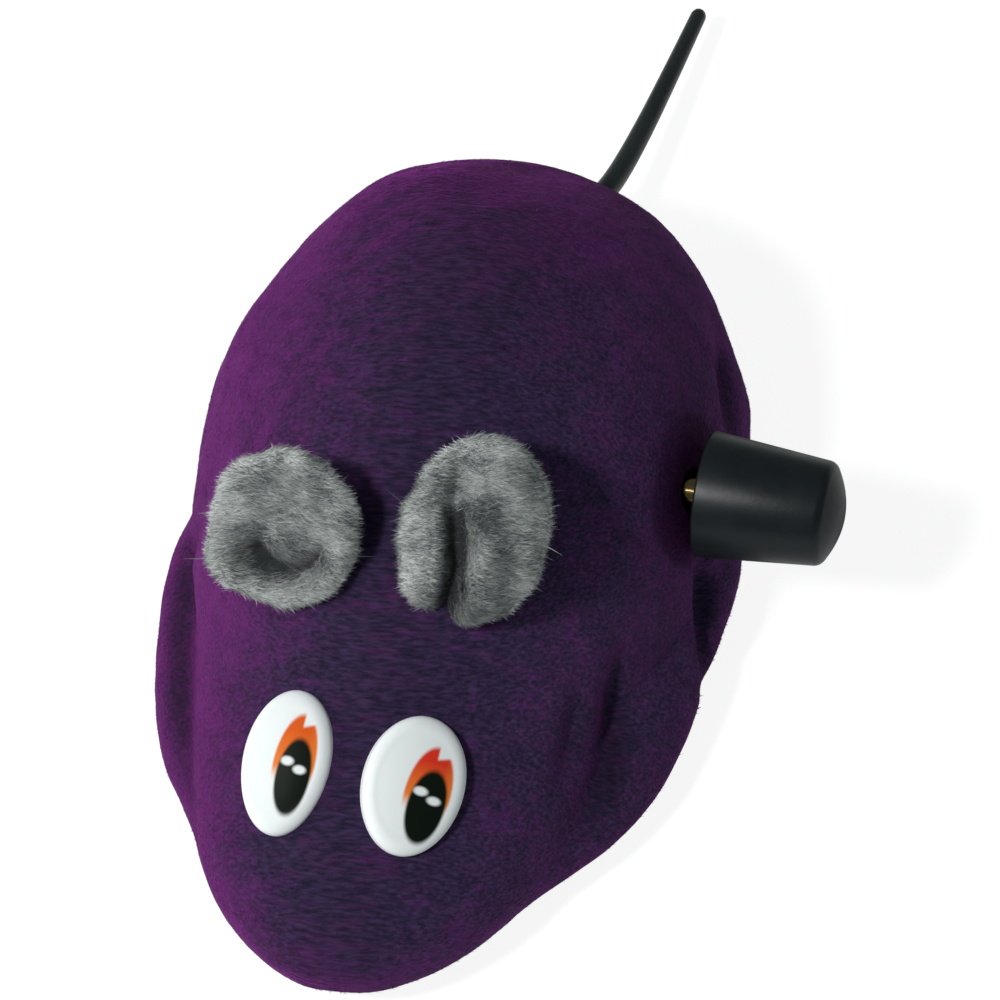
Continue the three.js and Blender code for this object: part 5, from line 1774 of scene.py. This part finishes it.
class MOUSE_OT_stage(bpy.types.Operator):
    """Set the floor, the lights and the camera"""

    bl_idname = "mouse.stage"
    bl_label = "Stage"

    def execute(self, context):
        stage = context.scene.mouse_stage
        self.floor()
        self.camera(context, stage)
        self.lights(stage)
        self.sky(context, stage)
        return {"FINISHED"}

    def floor(self):
        clear_selection()
        bpy.ops.mesh.primitive_plane_add(size=8, location=(0, 0, 0))
        floor = named("floor")
        material, tree, shader = new_material("pale_floor")
        feed(tree, shader, {
            "Base Color": (0.9, 0.9, 0.9, 1),
            "Roughness": 0.9,
            "Specular IOR Level": 0.1,
        })
        seen = put(tree, "ShaderNodeLightPath").outputs["Is Camera Ray"]
        faint = put(tree, "ShaderNodeBsdfDiffuse", {"Color": (0.2, 0.2, 0.2, 1)})
        glow = put(tree, "ShaderNodeEmission", {"Color": (1, 1, 1, 1), "Strength": 0.89})
        lit = put(tree, "ShaderNodeAddShader", {0: faint.outputs[0], 1: glow.outputs[0]})
        mix = put(tree, "ShaderNodeMixShader", {0: seen, 1: shader.outputs[0], 2: lit.outputs[0]})
        # Light that starts just above the floor meets a plain glow, so that the base shows from below
        rays = put(tree, "ShaderNodeLightPath")
        near = math_node(tree, "LESS_THAN", rays.outputs["Ray Length"], 0.015)
        bounced = math_node(tree, "MAXIMUM", rays.outputs["Is Diffuse Ray"], rays.outputs["Is Glossy Ray"])
        near = math_node(tree, "MULTIPLY", near, bounced)
        bounce = put(tree, "ShaderNodeEmission", {"Color": (1, 1, 1, 1), "Strength": 0.9})
        mix = put(tree, "ShaderNodeMixShader", {0: near, 1: mix.outputs[0], 2: bounce.outputs[0]})
        behind = put(tree, "ShaderNodeNewGeometry").outputs["Backfacing"]
        clear = put(tree, "ShaderNodeBsdfTransparent")
        mix = put(tree, "ShaderNodeMixShader", {0: behind, 1: mix.outputs[0], 2: clear.outputs[0]})
        feed(tree, tree.nodes["Material Output"], {"Surface": mix.outputs[0]})
        dress(floor, material)

    def camera(self, context, stage):
        a, e = stage.azimuth, stage.elevation
        back = Vector((math.sin(a) * math.cos(e), -math.cos(a) * math.cos(e), math.sin(e)))
        level = Vector((math.cos(a), math.sin(a), 0))
        rise = back.cross(level)
        right = level * math.cos(stage.roll) + rise * math.sin(stage.roll)
        up = rise * math.cos(stage.roll) - level * math.sin(stage.roll)
        place = SOLVED_ORIGIN + back * stage.distance + right * stage.aim[0] + up * stage.aim[1]
        data = bpy.data.cameras.new("camera")
        data.lens = stage.lens
        data.sensor_width = 36
        data.clip_start = 0.01
        data.clip_end = 50
        camera = add_object("camera", data)
        turn = Matrix((right, up, back)).transposed().to_4x4()
        camera.matrix_world = Matrix.Translation(place) @ turn
        context.scene.camera = camera

    def lights(self, stage):
        aim = Vector((MIDDLE_X, FORM_CENTRE.y, 0.012))
        lamps = (
            ("key", Vector((-0.30, -0.46, 0.836)) * 0.55, 0.08, stage.key_power),
            ("side", Vector((-0.9, -0.25, 0.35)) * 0.5, 0.25, stage.side_power),
        )
        for name, offset, size, power in lamps:
            data = bpy.data.lights.new(name, "AREA")
            data.shape = "DISK"
            data.size = size
            data.energy = power
            lamp = add_object(name, data)
            turn = offset.to_track_quat("Z", "Y").to_matrix().to_4x4()
            lamp.matrix_world = Matrix.Translation(aim + offset) @ turn

    def sky(self, context, stage):
        world = bpy.data.worlds.new("studio")
        context.scene.world = world
        world.use_nodes = True
        tree = world.node_tree
        seen = put(tree, "ShaderNodeLightPath").outputs["Is Camera Ray"]
        feed(tree, tree.nodes["Background"], {
            "Strength": remap(tree, seen, 0.0, 1.0, stage.sky, 1.0),
            "Color": blend_colour(tree, seen, (0.86, 1.0, 1.0, 1), (1, 1, 1, 1)),
        })
        context.scene.view_settings.view_transform = "Standard"


class MOUSE_PT_panel(bpy.types.Panel):
    """Lists the mouse's steps and settings"""

    bl_idname = "MOUSE_PT_panel"
    bl_label = "Clockwork mouse"
    bl_space_type = "VIEW_3D"
    bl_region_type = "UI"
    bl_category = "Mouse"

    def draw(self, context):
        for operator in OPERATORS:
            self.layout.operator(operator.bl_idname)
        for name, (group, label) in SETTINGS.items():
            box = self.layout.box()
            box.label(text=label)
            for key in group.__annotations__:
                box.prop(getattr(context.scene, name), key)


SETTINGS = {
    "mouse_body": (BodySettings, "Skin"),
    "mouse_ears": (EarSettings, "Ears"),
    "mouse_eyes": (EyeSettings, "Eyes"),
    "mouse_tail": (TailSettings, "Tail"),
    "mouse_knob": (KnobSettings, "Knob and shaft"),
    "mouse_stage": (StageSettings, "Stage"),
}

OPERATORS = (
    MOUSE_OT_stage,
    MOUSE_OT_velour_skin,
    MOUSE_OT_ears,
    MOUSE_OT_eyes,
    MOUSE_OT_tail,
    MOUSE_OT_knob,
    MOUSE_OT_running_gear,
    MOUSE_OT_underside,
    MOUSE_OT_motor,
)


def register():
    for group, _ in SETTINGS.values():
        bpy.utils.register_class(group)
    for operator in OPERATORS:
        bpy.utils.register_class(operator)
    bpy.utils.register_class(MOUSE_PT_panel)
    for name, (group, _) in SETTINGS.items():
        setattr(bpy.types.Scene, name, PointerProperty(type=group))


def unregister():
    for name in SETTINGS:
        delattr(bpy.types.Scene, name)
    bpy.utils.unregister_class(MOUSE_PT_panel)
    for operator in reversed(OPERATORS):
        bpy.utils.unregister_class(operator)
    for group, _ in reversed(SETTINGS.values()):
        bpy.utils.unregister_class(group)


def main():
    register()
    clear_selection()
    bpy.ops.mouse.stage()
    bpy.ops.mouse.velour_skin()
    bpy.ops.mouse.ears()
    bpy.ops.mouse.eyes()
    bpy.ops.mouse.tail()
    bpy.ops.mouse.knob()
    bpy.ops.mouse.running_gear()
    bpy.ops.mouse.underside()
    bpy.ops.mouse.motor()


if __name__ == "__main__":
    main()
